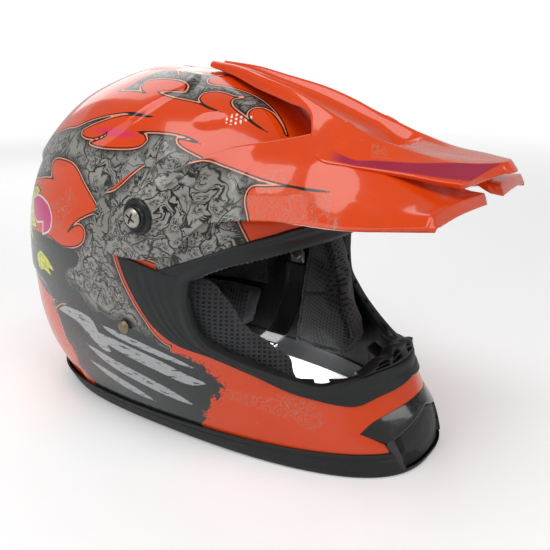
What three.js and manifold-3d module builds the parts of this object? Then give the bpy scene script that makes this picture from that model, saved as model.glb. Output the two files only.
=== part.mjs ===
// Motocross helmet. Millimetres, +Z up, the wearer looks along -Y, +X is the wearer's left.
// Origin: on the flat bottom rim plane, on the symmetry plane, below the middle of the length.
// Parts are drawn about a working origin 12.5 mm behind that point and moved back at the end.
// "Forward" is the distance ahead of the working origin, so y = -forward.
import * as THREE from "three";
import { mergeVertices } from "three/addons/utils/BufferGeometryUtils.js";
import Module from "manifold-3d";

const wasm = await Module();
wasm.setup();

// ---- driving dimensions ----
const MOVE_BACK = 12.5;
const SHELL_THICK = 4.0; // painted outer shell
const SHELL_BOTTOM_Z = 4.0; // lower edge of the shell inside the rim trim
const RIM_HEIGHT = 16.0; // bottom edge trim
const TRIM_PROUD = 2.4; // rubber trims stand this far off the shell
const TRIM_DEEP = 7.0; // rubber trims reach this far inside the outer surface
const GAP = 0.4; // clearance between neighbouring parts
const SMALL_GAP = 0.3; // clearance between stacked screw and strap parts
const PIVOT = { forward: 24.5, z: 179.5 }; // side screw axis
const RIVET = { forward: -3.0, z: 95.8 }; // chin strap rivet axis
// egg-shaped space inside the foam: centre and half sizes
const CAVITY = { forward: -34, z: 140, halfX: 84, halfY: 108, halfZ: 96 };

// ---- shell surface ----
const SEGMENTS = 36; // around the shell
const BODY_FLOOR_Z = -24; // bodies run down to here, below the rim plane
const BODY_FLOOR_CENTRE_Y = 30;
const FIRST_LATITUDE = 0.01;

// latitude (0 rim, 90 crown), z, front reach, back reach, half width, widest station,
// front power, back power, front taper
const SHELL_ROWS = [
  [0, 0, 180, -152, 84, -30, 2.8, 3.0, 0.08],
  [9, 22, 178, -166, 94, -30, 2.25, 2.9, 0.11],
  [18, 45, 170, -177, 103, -30, 1.95, 2.8, 0.12],
  [27, 70, 157, -184, 110.5, -30, 1.85, 2.6, 0.08],
  [36, 97, 140, -188, 115.5, -30, 2.15, 2.4, 0.02],
  [44, 122, 123, -189, 119, -30, 2.4, 2.25, 0],
  [52, 147, 108, -187, 120.5, -29, 2.5, 2.15, 0],
  [60, 174, 107, -180, 118, -28, 2.4, 2.1, 0],
  [67, 200, 98, -167, 110, -28, 2.2, 2.05, 0],
  [73, 222, 84, -149, 97, -29, 2.1, 2.0, 0],
  [79, 242, 60, -124, 77, -31, 2.05, 2.0, 0],
  [84, 256, 31, -95, 52, -32, 2.0, 2.0, 0],
  [87.5, 264.5, 4, -66, 27, -33, 2.0, 2.0, 0],
  [90, 268, -33, -33, 0, -33, 2.0, 2.0, 0],
];
const LATITUDES = SHELL_ROWS.map(([latitude]) => latitude);

// cubic through the table, so the surface is smooth between rows
function shellRow(latitude) {
  const last = LATITUDES.length - 1;
  let i = 0;
  while (i < last - 1 && latitude > LATITUDES[i + 1]) i++;
  const span = LATITUDES[i + 1] - LATITUDES[i];
  const t = (latitude - LATITUDES[i]) / span;
  const slope = (row, column) => {
    const below = Math.max(0, row - 1);
    const above = Math.min(last, row + 1);
    const rise = SHELL_ROWS[above][column] - SHELL_ROWS[below][column];
    return rise / (LATITUDES[above] - LATITUDES[below]);
  };
  return SHELL_ROWS[i].map(
    (value, column) =>
      (2 * t ** 3 - 3 * t ** 2 + 1) * value +
      (t ** 3 - 2 * t ** 2 + t) * slope(i, column) * span +
      (-2 * t ** 3 + 3 * t ** 2) * SHELL_ROWS[i + 1][column] +
      (t ** 3 - t ** 2) * slope(i + 1, column) * span,
  );
}

// superellipse section; the angle runs from the front towards the wearer's left
function surfacePoint(latitude, angle) {
  const row = shellRow(latitude);
  const [, z, frontReach, backReach, halfWidth, widest, frontPower, backPower, taper] = row;
  const cos = Math.cos(angle);
  const sin = Math.sin(angle);
  const front = cos >= 0;
  const exponent = 2 / (front ? frontPower : backPower);
  const along = Math.abs(cos) ** exponent;
  const forward = widest + ((front ? frontReach : backReach) - widest) * along;
  const narrowing = front ? 1 - taper * along : 1;
  const x = Math.sign(sin) * halfWidth * Math.abs(sin) ** exponent * narrowing;
  return new THREE.Vector3(x, -forward, z);
}

function offsetPoint(latitude, angle, offset) {
  const latitudeStep = 0.4;
  const angleStep = 0.02;
  const upward = surfacePoint(latitude + latitudeStep, angle).sub(
    surfacePoint(Math.max(0, latitude - latitudeStep), angle),
  );
  const around = surfacePoint(latitude, angle + angleStep).sub(
    surfacePoint(latitude, angle - angleStep),
  );
  const normal = around.cross(upward).normalize();
  return surfacePoint(latitude, angle).addScaledVector(normal, offset);
}

// ---- solid helpers ----
function manifold(positions, triangles) {
  return new wasm.Manifold(
    new wasm.Mesh({
      numProp: 3,
      vertProperties: new Float32Array(positions),
      triVerts: new Uint32Array(triangles),
    }),
  );
}
function weld(geometry) {
  const bare = geometry.index ? geometry.toNonIndexed() : geometry.clone();
  for (const name of Object.keys(bare.attributes)) {
    if (name !== "position") bare.deleteAttribute(name);
  }
  return mergeVertices(bare, 1e-3);
}
function solid(geometry) {
  const welded = weld(geometry);
  return manifold(welded.attributes.position.array, welded.index.array);
}
function swapWinding(triangles) {
  for (let i = 0; i < triangles.length; i += 3) {
    [triangles[i + 1], triangles[i + 2]] = [triangles[i + 2], triangles[i + 1]];
  }
  return triangles;
}
// a solid whose faces point outwards, whichever way the geometry is wound
function outwardSolid(geometry) {
  const result = solid(geometry);
  if (result.volume() >= 0) return result;
  const welded = weld(geometry);
  welded.setIndex(swapWinding(Array.from(welded.index.array)));
  return solid(welded);
}
function fromPoints(points, triangles) {
  const geometry = new THREE.BufferGeometry().setFromPoints(points);
  geometry.setIndex(triangles);
  return outwardSolid(geometry);
}
// the other side's copy, across the symmetry plane
function mirror(original) {
  const mesh = original.getMesh();
  const positions = mesh.vertProperties.map((value, i) => (i % 3 === 0 ? -value : value));
  return manifold(positions, swapWinding(new Uint32Array(mesh.triVerts)));
}

// the whole body inside the shell surface moved out by an offset
const bodyCache = new Map();
function bodyAt(offset) {
  if (!bodyCache.has(offset)) bodyCache.set(offset, buildBody(offset));
  return bodyCache.get(offset);
}
function buildBody(offset) {
  const angles = [...Array(SEGMENTS).keys()].map((j) => (2 * Math.PI * j) / SEGMENTS);
  const ringAt = (latitude) => angles.map((angle) => offsetPoint(latitude, angle, offset));
  const rim = ringAt(FIRST_LATITUDE);
  const rings = [
    rim.map(({ x, y }) => new THREE.Vector3(x, y, BODY_FLOOR_Z)),
    rim.map(({ x, y }) => new THREE.Vector3(x, y, 0)),
    ...LATITUDES.slice(1, -1).map(ringAt),
  ];
  const [, crownZ, crownForward] = SHELL_ROWS.at(-1);
  const crown = new THREE.Vector3(0, -crownForward, crownZ + offset);
  const floor = new THREE.Vector3(0, BODY_FLOOR_CENTRE_Y, BODY_FLOOR_Z);
  const crownIndex = rings.length * SEGMENTS;
  const topRing = crownIndex - SEGMENTS;
  const triangles = [];
  for (let i = 0; i < rings.length - 1; i++) {
    for (let j = 0; j < SEGMENTS; j++) {
      const here = i * SEGMENTS + j;
      const next = i * SEGMENTS + ((j + 1) % SEGMENTS);
      const nextAbove = next + SEGMENTS;
      triangles.push(here, next, nextAbove, here, nextAbove, here + SEGMENTS);
    }
  }
  for (let j = 0; j < SEGMENTS; j++) {
    const next = (j + 1) % SEGMENTS;
    triangles.push(topRing + j, topRing + next, crownIndex);
    triangles.push(next, j, crownIndex + 1);
  }
  return fromPoints([...rings.flat(), crown, floor], triangles);
}
// skin between two offsets of the shell surface
const layer = (outer, inner) => bodyAt(outer).subtract(bodyAt(inner));

function prism(outline, depth, matrix) {
  const shape = new THREE.Shape(outline.map(([a, b]) => new THREE.Vector2(a, b)));
  const geometry = new THREE.ExtrudeGeometry(shape, { depth, bevelEnabled: false });
  return outwardSolid(geometry.applyMatrix4(matrix));
}
// outline in (forward, up), pushed along X
const sidePrism = (outline, [x0, x1] = [-170, 170]) =>
  prism(
    outline,
    x1 - x0,
    new THREE.Matrix4().set(0, 0, 1, x0, -1, 0, 0, 0, 0, 1, 0, 0, 0, 0, 0, 1),
  );
// outline in (x, up), pushed forward
const frontPrism = (outline, [back, front]) =>
  prism(
    outline,
    front - back,
    new THREE.Matrix4().set(1, 0, 0, 0, 0, 0, -1, -back, 0, 1, 0, 0, 0, 0, 0, 1),
  );
const box = ([x0, x1], [back, front], [z0, z1]) =>
  solid(
    new THREE.BoxGeometry(x1 - x0, front - back, z1 - z0).translate(
      (x0 + x1) / 2,
      -(back + front) / 2,
      (z0 + z1) / 2,
    ),
  );
const zBand = (z0, z1) => box([-200, 200], [-260, 260], [z0, z1]);
// a round bar along X on a side axis
const barX = (radius, [x0, x1], axis, segments = 20) =>
  solid(
    new THREE.CylinderGeometry(radius, radius, x1 - x0, segments)
      .rotateZ(Math.PI / 2)
      .translate((x0 + x1) / 2, -axis.forward, axis.z),
  );
const acrossHelmet = (radius, axis) => barX(radius, [-150, 150], axis);
// a turned part on the right side: profile of (radius, distance outwards from x)
const turnedRight = (profile, x, axis, segments) =>
  solid(
    new THREE.LatheGeometry(profile.map(([r, out]) => new THREE.Vector2(r, out)), segments)
      .rotateZ(Math.PI / 2)
      .translate(-x, -axis.forward, axis.z),
  );
// symmetric outline in (x, up) from its lower and upper edges
const trapezoid = (z0, half0, z1, half1) => [[-half0, z0], [half0, z0], [half1, z1], [-half1, z1]];
const rangeAround = (centre, half) => [centre - half, centre + half];

// ---- outlines seen from the side (forward, up) ----
const EYEPORT_OPENING = [
  [51, 137], [50, 125], [52, 106], [57, 93], [70, 83], [87, 74], [110, 65], [122, 62],
  [131, 64], [141, 67], [150, 70], [300, 80], [300, 158], [101, 155], [91, 153], [78, 150],
  [66, 146], [57, 141],
];
// shell edge under the eyeport trim
const SHELL_CUT = [
  [46, 139], [45, 125], [47, 105], [53, 90], [67, 79], [85, 70], [109, 61], [122, 58],
  [132, 60], [142, 63], [152, 66], [300, 76], [300, 162], [101, 159], [90, 157], [77, 154],
  [64, 150], [54, 145],
];
// trim core, fits inside the shell edge with clearance
const TRIM_CORE = [
  [46.5, 138.7], [45.5, 125], [47.5, 105.2], [53.4, 90.4], [67.3, 79.5], [85.3, 70.5],
  [109.2, 61.5], [122, 58.5], [132, 60.5], [142, 63.5], [152, 66.5], [300, 76.5],
  [300, 161.5], [101, 158.5], [90.2, 156.5], [77.2, 153.5], [64.2, 149.5], [54.3, 144.5],
];
// outer boundary of the trim with its side wing
const TRIM_OUTER = [
  [0, 150.6], [6, 132.7], [14, 115], [22, 101], [32, 91], [55, 84], [75, 73], [92, 64],
  [110, 55], [129, 50], [137, 48], [144, 48], [154, 53], [161, 57], [168, 62], [300, 70],
  [300, 175], [107, 172], [95, 168], [81, 163.5], [61.6, 155.6], [45, 149], [31, 143.5],
  [14, 148],
];
const NOSE_GUARD = [
  [100, 68.6], [110, 65.6], [122, 62.5], [131, 64.5], [141, 67.5], [150, 70.5],
  [170, 72], [170, 82], [146, 85], [133, 81], [122, 76], [110, 71],
];
// cleared from the front of the foam and of the crown liner
const EPS_FRONT = [
  [8, 0], [8, 136], [40, 142], [52, 150], [76, 159], [100, 165], [300, 170], [300, 0],
];
const CROWN_FRONT = [[8, 0], [8, 158], [60, 168], [300, 176], [300, 0]];
const CHIN_EPS = [[104, 18], [176, 18], [176, 52], [140, 44], [104, 50]];
const CHEEK_PAD = [
  [20, 24], [20, 112], [22, 130], [34, 135], [47, 133], [58, 118], [66, 104], [80, 84],
  [92, 70], [98, 52], [84, 30], [60, 24],
];
const NECK_ROLL = [[-36, 22], [-36, 60], [-230, 60], [-230, 22]];
const PEAK_ARM = [
  [-17, 176], [-15, 183], [-8, 190], [14, 208.6], [36, 207.4], [48, 213.4], [63, 221],
  [76, 225], [76, 178], [61, 176.6], [44, 155.6], [22, 150.4], [-1, 151.4], [-10, 157],
  [-15.6, 166],
];
const STRAP_PLATE = [[-11, 80], [-11, 98], [-6, 104], [0, 104], [5, 98], [5, 80]];

// ---- outlines seen from the front (x, up) ----
const VENT_FRAME = [
  [-50, 33], [-26, 47], [0, 52], [26, 47], [50, 33], [34, 22], [30, 3.8], [-30, 3.8], [-34, 22],
];
// room for the vent frame in the rim trim
const VENT_CLEARANCE = [
  [-52, 33.4], [-26, 48.4], [0, 53.4], [26, 48.4], [52, 33.4], [35.4, 21], [31.4, 3.3],
  [-31.4, 3.3], [-35.4, 21],
];
const SHELL_VENT_HOLE = trapezoid(18, 22, 33, 22);
const FRAME_RECESS = trapezoid(8.4, 25, 40, 23);
const FRAME_HOLE = trapezoid(12, 18, 35, 16);
const VENT_PANEL = trapezoid(9, 24.4, 39.4, 22.4);
const VENT_MESH = trapezoid(17, 26, 38, 26);
// forward reach of cuts through the chin bar, and through the chin vent
const CHIN_SPAN = [100, 220];
const VENT_SPAN = [100, 230];

// ---- shell and trims ----
const SHELL_SCREW_HOLE_R = 3.2;
const RIVET_HOLE_R = 2.5;

function outerShell() {
  return layer(0, -SHELL_THICK)
    .subtract(zBand(-40, SHELL_BOTTOM_Z))
    .subtract(sidePrism(SHELL_CUT))
    .subtract(acrossHelmet(SHELL_SCREW_HOLE_R, PIVOT))
    .subtract(acrossHelmet(RIVET_HOLE_R, RIVET))
    .subtract(frontPrism(SHELL_VENT_HOLE, CHIN_SPAN));
}

// a channel around the shell's lower edge: floor, outer wall, inner wall
function bottomEdgeTrim() {
  const wallBand = zBand(0, RIM_HEIGHT);
  return layer(TRIM_PROUD, -TRIM_DEEP)
    .intersect(zBand(0, SHELL_BOTTOM_Z - GAP))
    .add(layer(TRIM_PROUD, GAP).intersect(wallBand))
    .add(layer(-SHELL_THICK - GAP, -TRIM_DEEP).intersect(wallBand))
    .subtract(frontPrism(VENT_CLEARANCE, CHIN_SPAN));
}

function eyeportTrim() {
  return layer(TRIM_PROUD, GAP)
    .intersect(sidePrism(TRIM_OUTER))
    .add(layer(TRIM_PROUD, -TRIM_DEEP).intersect(sidePrism(TRIM_CORE)))
    .subtract(sidePrism(EYEPORT_OPENING));
}

// on the chin bar, with a slot on each side
function noseGuard() {
  const proud = TRIM_PROUD + 0.6;
  const deep = 10;
  const halfWidth = 38;
  const slot = (xRange) => box(xRange, [100, 139], [60, 95]);
  return layer(proud, -deep)
    .intersect(sidePrism(NOSE_GUARD, [-halfWidth, halfWidth]))
    .subtract(slot([-24, -14]))
    .subtract(slot([14, 24]));
}

// ---- chin vent ----
// distances off the shell's outer surface; negative is inside
const VENT_OFFSETS = {
  frame: [7.6, 0.5],
  recess: [12, 2.6],
  panel: [5.6, 3.0],
  mesh: [-SHELL_THICK - 0.6, -SHELL_THICK - 1.8],
};
const ventBand = (offsets) => layer(...offsets).intersect(box([-80, 80], [110, 230], [-10, 80]));

function chinVentFrame() {
  const recess = layer(...VENT_OFFSETS.recess).intersect(frontPrism(FRAME_RECESS, VENT_SPAN));
  return ventBand(VENT_OFFSETS.frame)
    .intersect(frontPrism(VENT_FRAME, VENT_SPAN))
    .subtract(recess)
    .subtract(frontPrism(FRAME_HOLE, VENT_SPAN));
}
const chinVentPanel = () =>
  ventBand(VENT_OFFSETS.panel).intersect(frontPrism(VENT_PANEL, VENT_SPAN));
const chinVentMesh = () => ventBand(VENT_OFFSETS.mesh).intersect(frontPrism(VENT_MESH, CHIN_SPAN));

// ---- foam and comfort parts ----
const EPS_GAP = 0.7; // shell to foam
const EPS_BOTTOM_Z = 64;
const EPS_POCKET_R = 10.5; // round pocket at each side screw
const EPS_POCKET_X = [96, 150];
const STRAP_NOTCH = { x: [78, 130], forward: [-26, 16], z: [40, 114] };
const LINER_GAP = 1.2; // comfort liner to foam
const LINER_THICK = 7.0;
const LINER_BOTTOM_Z = 158;
const CAVITY_COLUMN = 170; // length of the straight space below the cavity centre
const CHIN_EPS_OFFSETS = [-9, -22];
const CHEEK_PAD_OFFSETS = [-8.5, -34];
const NECK_ROLL_OFFSETS = [-8.2, -34];

function cavityEllipsoid(inset, around, rings) {
  const { forward, z, halfX, halfY, halfZ } = CAVITY;
  return solid(
    new THREE.SphereGeometry(1, around, rings)
      .rotateX(Math.PI / 2)
      .scale(halfX - inset, halfY - inset, halfZ - inset)
      .translate(0, -forward, z),
  );
}
function cavity() {
  const column = new THREE.CylinderGeometry(1, 1, CAVITY_COLUMN, 28)
    .rotateX(Math.PI / 2)
    .scale(CAVITY.halfX, CAVITY.halfY, 1)
    .translate(0, -CAVITY.forward, CAVITY.z - CAVITY_COLUMN / 2);
  return cavityEllipsoid(0, 28, 16).add(solid(column));
}
const toRight = ([inner, outer]) => [-outer, -inner];

function epsLiner() {
  const notch = (xRange) => box(xRange, STRAP_NOTCH.forward, STRAP_NOTCH.z);
  return bodyAt(-SHELL_THICK - EPS_GAP)
    .subtract(cavity())
    .subtract(zBand(-60, EPS_BOTTOM_Z))
    .subtract(sidePrism(EPS_FRONT))
    .subtract(notch(toRight(STRAP_NOTCH.x)).add(notch(STRAP_NOTCH.x)))
    .subtract(barX(EPS_POCKET_R, toRight(EPS_POCKET_X), PIVOT))
    .subtract(barX(EPS_POCKET_R, EPS_POCKET_X, PIVOT));
}
const chinEps = () => layer(...CHIN_EPS_OFFSETS).intersect(sidePrism(CHIN_EPS));
function crownLiner() {
  return cavityEllipsoid(LINER_GAP, 24, 14)
    .subtract(cavityEllipsoid(LINER_GAP + LINER_THICK, 24, 14))
    .subtract(zBand(-60, LINER_BOTTOM_Z))
    .subtract(sidePrism(CROWN_FRONT));
}
const cheekPadRight = () =>
  layer(...CHEEK_PAD_OFFSETS).intersect(sidePrism(CHEEK_PAD, [-170, -40]));
const neckRoll = () => layer(...NECK_ROLL_OFFSETS).intersect(sidePrism(NECK_ROLL));

// ---- peak ----
const PEAK_GAP = 2.2; // peak arms to shell
const ARM_THICK = 2.4;
const SHEET_THICK = 3.0; // hood and wings
const BOSS_X = 120.6; // flat seat of the peak under each washer
const BOSS_INNER_X = 106;
const BOSS_R = 13.2;
const PEAK_SCREW_HOLE_R = 3.4;

// hood: forward station, then half profile of (x, z) from the middle outwards
const HOOD = [
  [-8, [[0, 270.6], [4, 270.8], [7, 272.6], [9.4, 271.2], [10.4, 269.6], [11, 268.6]]],
  [20, [[0, 264.6], [8, 265], [12, 269.0], [15, 266.6], [16.4, 264], [17, 262]]],
  [43, [[0, 257.2], [12, 257.6], [17, 263.4], [20, 260], [21.4, 257], [22, 254.4]]],
  [73, [[0, 247.6], [15, 248], [22, 255.6], [25, 252], [26.6, 249], [27.4, 246.4]]],
  [94, [[0, 239.4], [17, 239.8], [25, 247.8], [29, 244], [31.4, 241.4], [32.4, 239.4]]],
  [108, [[0, 233.4], [18, 233.8], [26.6, 241.6], [32, 236.6], [42, 228], [50, 222]]],
  [120, [[0, 228.4], [18.6, 228.8], [27.4, 236.4], [38, 229.4], [50, 222.4], [60, 215.8]]],
  [138, [[0, 219.6], [19.4, 220], [28, 229], [40, 222.8], [51, 216.4], [56, 213.4]]],
  [150, [[0, 221.6], [19, 222], [27.4, 225], [38, 220.8], [47, 216.4], [53.6, 212.4]]],
  [172, [[0, 217.8], [14, 218.4], [23.6, 219], [32, 217.6], [39, 216], [50, 210.6]]],
  [190, [[0, 216.6], [10, 216.8], [18, 216.8], [23, 216.6], [27, 216.2], [47.4, 208.6]]],
  [202, [[0, 216.2], [6, 216.2], [11, 216.2], [15, 216.0], [19, 215.8], [45, 207.8]]],
];
// curved front edge of the hood (x, z, forward)
const HOOD_TIP = [
  [0, 216.2, 214], [3, 216.2, 213.8], [6, 216.2, 213.2], [8, 216.1, 212.6], [10, 215.9, 212],
  [44, 207.6, 203.4],
];
// wing: forward station, then (x, z) from the inner edge to the outer lower edge
const WING = [
  [58, [[64, 222.5], [75.6, 214.6], [86, 202], [93.6, 190], [98.6, 177]]],
  [80, [[49, 226], [63, 216.8], [76, 205.6], [85.6, 193.4], [92.4, 179.4]]],
  [104, [[34, 233.4], [52, 221.8], [68, 209], [79, 196], [87.4, 181.6]]],
  [120, [[28, 236], [46, 225], [60, 215.4], [74, 200], [85.6, 181.6]]],
  [145, [[38, 218.6], [49, 214.6], [59, 208], [71, 197], [84.2, 182.4]]],
  [160, [[36, 213.6], [49, 210.6], [60, 205], [72, 196], [84, 184]]],
  [180, [[26, 205.4], [44, 204.2], [59, 201.4], [72, 196.4], [83.6, 189.4]]],
];
// front edge of the wing (x, z, forward)
const WING_TIP = [
  [15, 198.4, 206], [34, 198.8, 204.6], [54, 198.6, 203], [69, 197.6, 201.6], [83, 195.4, 200],
];

const withTip = (stations, tip) => [
  ...stations.map(([forward, profile]) => profile.map(([x, z]) => [x, z, forward])),
  tip,
];
const pointsOnSide = (profile, side) =>
  profile.map(([x, z, forward]) => new THREE.Vector3(side * x, -forward, z));

// a curved plate: rows of top points, with the underside moved along the downward normal
function sheet(rows) {
  const rowCount = rows.length;
  const rowSize = rows[0].length;
  const top = rows.flat();
  const under = top.length;
  const bottom = rows.flatMap((row, i) =>
    row.map((point, j) => {
      const ahead = rows[Math.min(rowCount - 1, i + 1)][j];
      const along = ahead.clone().sub(rows[Math.max(0, i - 1)][j]);
      const across = row[Math.min(rowSize - 1, j + 1)].clone().sub(row[Math.max(0, j - 1)]);
      const normal = along.cross(across).normalize();
      if (normal.z > 0) normal.negate();
      return point.clone().addScaledVector(normal, SHEET_THICK);
    }),
  );
  const triangles = [];
  const quad = (a, b, c, d) => triangles.push(a, b, c, a, c, d);
  for (let i = 0; i < rowCount - 1; i++) {
    for (let j = 0; j < rowSize - 1; j++) {
      const here = i * rowSize + j;
      const next = here + rowSize;
      quad(here, here + 1, next + 1, next);
      quad(under + here, under + next, under + next + 1, under + here + 1);
    }
  }
  // side edges
  for (let i = 0; i < rowCount - 1; i++) {
    const first = i * rowSize;
    const last = first + rowSize - 1;
    quad(first, first + rowSize, under + first + rowSize, under + first);
    quad(last + rowSize, last, under + last, under + last + rowSize);
  }
  // rear and front edges
  for (let j = 0; j < rowSize - 1; j++) {
    const front = (rowCount - 1) * rowSize + j;
    quad(j + 1, j, under + j, under + j + 1);
    quad(front, front + 1, under + front + 1, under + front);
  }
  return fromPoints([...top, ...bottom], triangles);
}

function peak() {
  const hood = sheet(
    withTip(HOOD, HOOD_TIP).map((profile) => [
      ...pointsOnSide(profile.slice(1).reverse(), -1),
      ...pointsOnSide(profile, 1),
    ]),
  );
  const wing = sheet(withTip(WING, WING_TIP).map((profile) => pointsOnSide(profile, -1)));
  const arm = layer(PEAK_GAP + ARM_THICK, PEAK_GAP).intersect(sidePrism(PEAK_ARM, [-170, -44]));
  const boss = barX(BOSS_R, [-BOSS_X, -BOSS_INNER_X], PIVOT, 32);
  const rightHalf = wing.add(arm).add(boss);
  return hood
    .add(rightHalf)
    .add(mirror(rightHalf))
    .subtract(bodyAt(PEAK_GAP))
    .subtract(acrossHelmet(PEAK_SCREW_HOLE_R, PIVOT));
}

// ---- peak screws, washers and nuts (right side) ----
const FASTENER_HOLE_R = 3.1; // through washers and nuts
const WASHER = { radius: 11.8, thick: 4.2, seatX: BOSS_X + SMALL_GAP };
const SCREW = {
  headR: 6.4,
  headT: 2.6,
  shankR: 2.6,
  shankLength: 26,
  slotWidth: 1.6,
  seatX: WASHER.seatX + WASHER.thick + SMALL_GAP,
};
const NUT_R = 8.5;

function peakWasherRight() {
  const { radius, thick, seatX } = WASHER;
  const profile = [
    [FASTENER_HOLE_R, 0], [radius, 0], [radius, 1.6], [radius - 1.2, 2.8], [radius - 2.6, 2.8],
    [radius - 3.0, 2.2], [radius - 3.8, 2.2], [radius - 4.2, thick], [FASTENER_HOLE_R, thick],
    [FASTENER_HOLE_R, 0],
  ];
  return turnedRight(profile, seatX, PIVOT, 24);
}
function peakScrewRight() {
  const { headR, headT, shankR, shankLength, slotWidth, seatX } = SCREW;
  const profile = [
    [0, -shankLength], [shankR, -shankLength], [shankR, 0], [headR, 0],
    [headR, headT - 0.7], [headR - 0.8, headT], [0, headT],
  ];
  const slotX = -(seatX + headT + 0.3);
  const slot = new THREE.BoxGeometry(3, 20, slotWidth).translate(slotX, -PIVOT.forward, PIVOT.z);
  return turnedRight(profile, seatX, PIVOT, 20).subtract(solid(slot));
}
function peakNutRight() {
  return barX(NUT_R, [-130, -100], PIVOT)
    .intersect(layer(-SHELL_THICK - GAP, -SHELL_THICK - 2.4))
    .subtract(barX(FASTENER_HOLE_R, [-140, -90], PIVOT));
}

// ---- chin strap ----
const RIVET_SEAT_X = 116.6; // outer surface at the rivet
const RIVET_HEAD_R = 5.0;
const PLATE_OUTER_X = RIVET_SEAT_X - 13.6;
const PLATE_INNER_X = RIVET_SEAT_X - 15.2;
const STRAP_WIDTH = 22.0;
const STRAP_THICK = 2.0;
const STRAP_X = PLATE_INNER_X - SMALL_GAP - STRAP_THICK / 2;
const STRAP_SPAN = rangeAround(RIVET.forward, STRAP_WIDTH / 2);
const LOOP = { x: 46, z: 22 }; // strap end that holds both D rings
const RING_WIRE_R = 1.8;
const RING_RISE = 2.9; // each ring above or below the loop centre
const RING_HALF_WIDTH = STRAP_WIDTH / 2 + 3.4;
const RING_BAR_OVERHANG = 1.4;

// centre lines of the webbing (x, up), from the plate downwards
const RIGHT_STRAP_PATH = [
  [-STRAP_X, 86], [-STRAP_X + 3, 66], [-88, 46], [-76, 31], [-56, 22], [-30, 18], [-8, 17],
];
const LEFT_STRAP_PATH = [
  [STRAP_X, 86], [STRAP_X - 3, 66], [88, 46], [79, 33], [68, 26], [LOOP.x + 5, 23],
];
// five-sided loop around its centre (x, up)
const LOOP_OUTLINE = [[-3.6, -6.4], [3.6, -6.4], [6, 0], [3.6, 6.4], [-3.6, 6.4]];
// bow of a D ring: x from its bar, forward as a share of the half width
const RING_BOW = [
  [0, -1], [-5, -1], [-13, -0.86], [-20, -0.45], [-22, 0], [-20, 0.45], [-13, 0.86], [-5, 1],
  [0, 1],
];

function strapRivetRight() {
  const profile = [
    [0, -17.0], [3.8, -17.0], [4.2, -15.8], [2.0, -15.8], [2.0, 0], [RIVET_HEAD_R, 0],
    [RIVET_HEAD_R - 0.6, 1.3], [RIVET_HEAD_R - 2, 2.1], [0, 2.4],
  ];
  return turnedRight(profile, RIVET_SEAT_X, RIVET, 16);
}
const strapPlateRight = () =>
  sidePrism(STRAP_PLATE, [-PLATE_OUTER_X, -PLATE_INNER_X]).subtract(
    acrossHelmet(RIVET_HOLE_R, RIVET),
  );

// a smooth band along a centre line, swept across the strap width
function webbing(controls, steps) {
  const curve = new THREE.CatmullRomCurve3(controls.map(([x, z]) => new THREE.Vector3(x, 0, z)));
  const path = curve.getPoints(steps);
  const edge = (side) =>
    path.map(({ x, z }, i) => {
      const before = path[Math.max(0, i - 1)];
      const after = path[Math.min(steps, i + 1)];
      const direction = new THREE.Vector2(after.x - before.x, after.z - before.z).normalize();
      const reach = (side * STRAP_THICK) / 2;
      return [x - direction.y * reach, z + direction.x * reach];
    });
  return frontPrism([...edge(1), ...edge(-1).reverse()], STRAP_SPAN);
}
// a round bar along Y, centred on the strap
const barY = (radius, halfLength, x, z, segments) =>
  solid(
    new THREE.CylinderGeometry(radius, radius, 2 * halfLength, segments).translate(
      x,
      -RIVET.forward,
      z,
    ),
  );
const chinStrapRight = () => webbing(RIGHT_STRAP_PATH, 16);
function chinStrapLeft() {
  const outline = LOOP_OUTLINE.map(([x, z]) => [LOOP.x + x, LOOP.z + z]);
  const ringHole = (z) => barY(RING_WIRE_R + GAP, 40, LOOP.x, z, 20);
  return webbing(LEFT_STRAP_PATH, 14)
    .add(frontPrism(outline, STRAP_SPAN))
    .subtract(ringHole(LOOP.z - RING_RISE))
    .subtract(ringHole(LOOP.z + RING_RISE));
}

// straight bar through the loop and a bow towards the middle
function dRing(z) {
  const bow = new THREE.CatmullRomCurve3(
    RING_BOW.map(
      ([x, share]) =>
        new THREE.Vector3(LOOP.x + x, -(RIVET.forward + share * RING_HALF_WIDTH), z),
    ),
  );
  const circle = new THREE.Shape(
    [...Array(8).keys()].map((i) => {
      const angle = (i * Math.PI) / 4;
      return new THREE.Vector2(RING_WIRE_R * Math.cos(angle), RING_WIRE_R * Math.sin(angle));
    }),
  );
  const options = { steps: 14, extrudePath: bow, bevelEnabled: false };
  return solid(new THREE.ExtrudeGeometry(circle, options)).add(
    barY(RING_WIRE_R, RING_HALF_WIDTH + RING_BAR_OVERHANG, LOOP.x, z, 12),
  );
}

// ---- materials ----
const FINISH = {
  shellPaint: { color: 0xe8491e, roughness: 0.18 },
  peakPaint: { color: 0xe8491e, roughness: 0.2 },
  rimTrim: { color: 0x222427, roughness: 0.7 },
  eyeportTrim: { color: 0x24282a, roughness: 0.62 },
  noseGuard: { color: 0x1d2022, roughness: 0.65 },
  glossBlack: { color: 0x0c0d0e, roughness: 0.16 },
  ventPanel: { color: 0x2a2e30, roughness: 0.6 },
  ventMesh: { color: 0x101112, roughness: 0.5, metalness: 0.6 },
  foam: { color: 0x1a1b1d, roughness: 0.85 },
  lining: { color: 0x25272a, roughness: 0.92 },
  cheekPad: { color: 0x2c2f33, roughness: 0.92 },
  washer: { color: 0x17181a, roughness: 0.4 },
  screw: { color: 0x9a958c, roughness: 0.3, metalness: 1 },
  plainMetal: { color: 0xa4a4a4, roughness: 0.4, metalness: 1 },
  rivet: { color: 0x94897a, roughness: 0.35, metalness: 1 },
  webbing: { color: 0x1b1c1f, roughness: 0.9 },
  ring: { color: 0xb8b8b8, roughness: 0.25, metalness: 1 },
};

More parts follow.
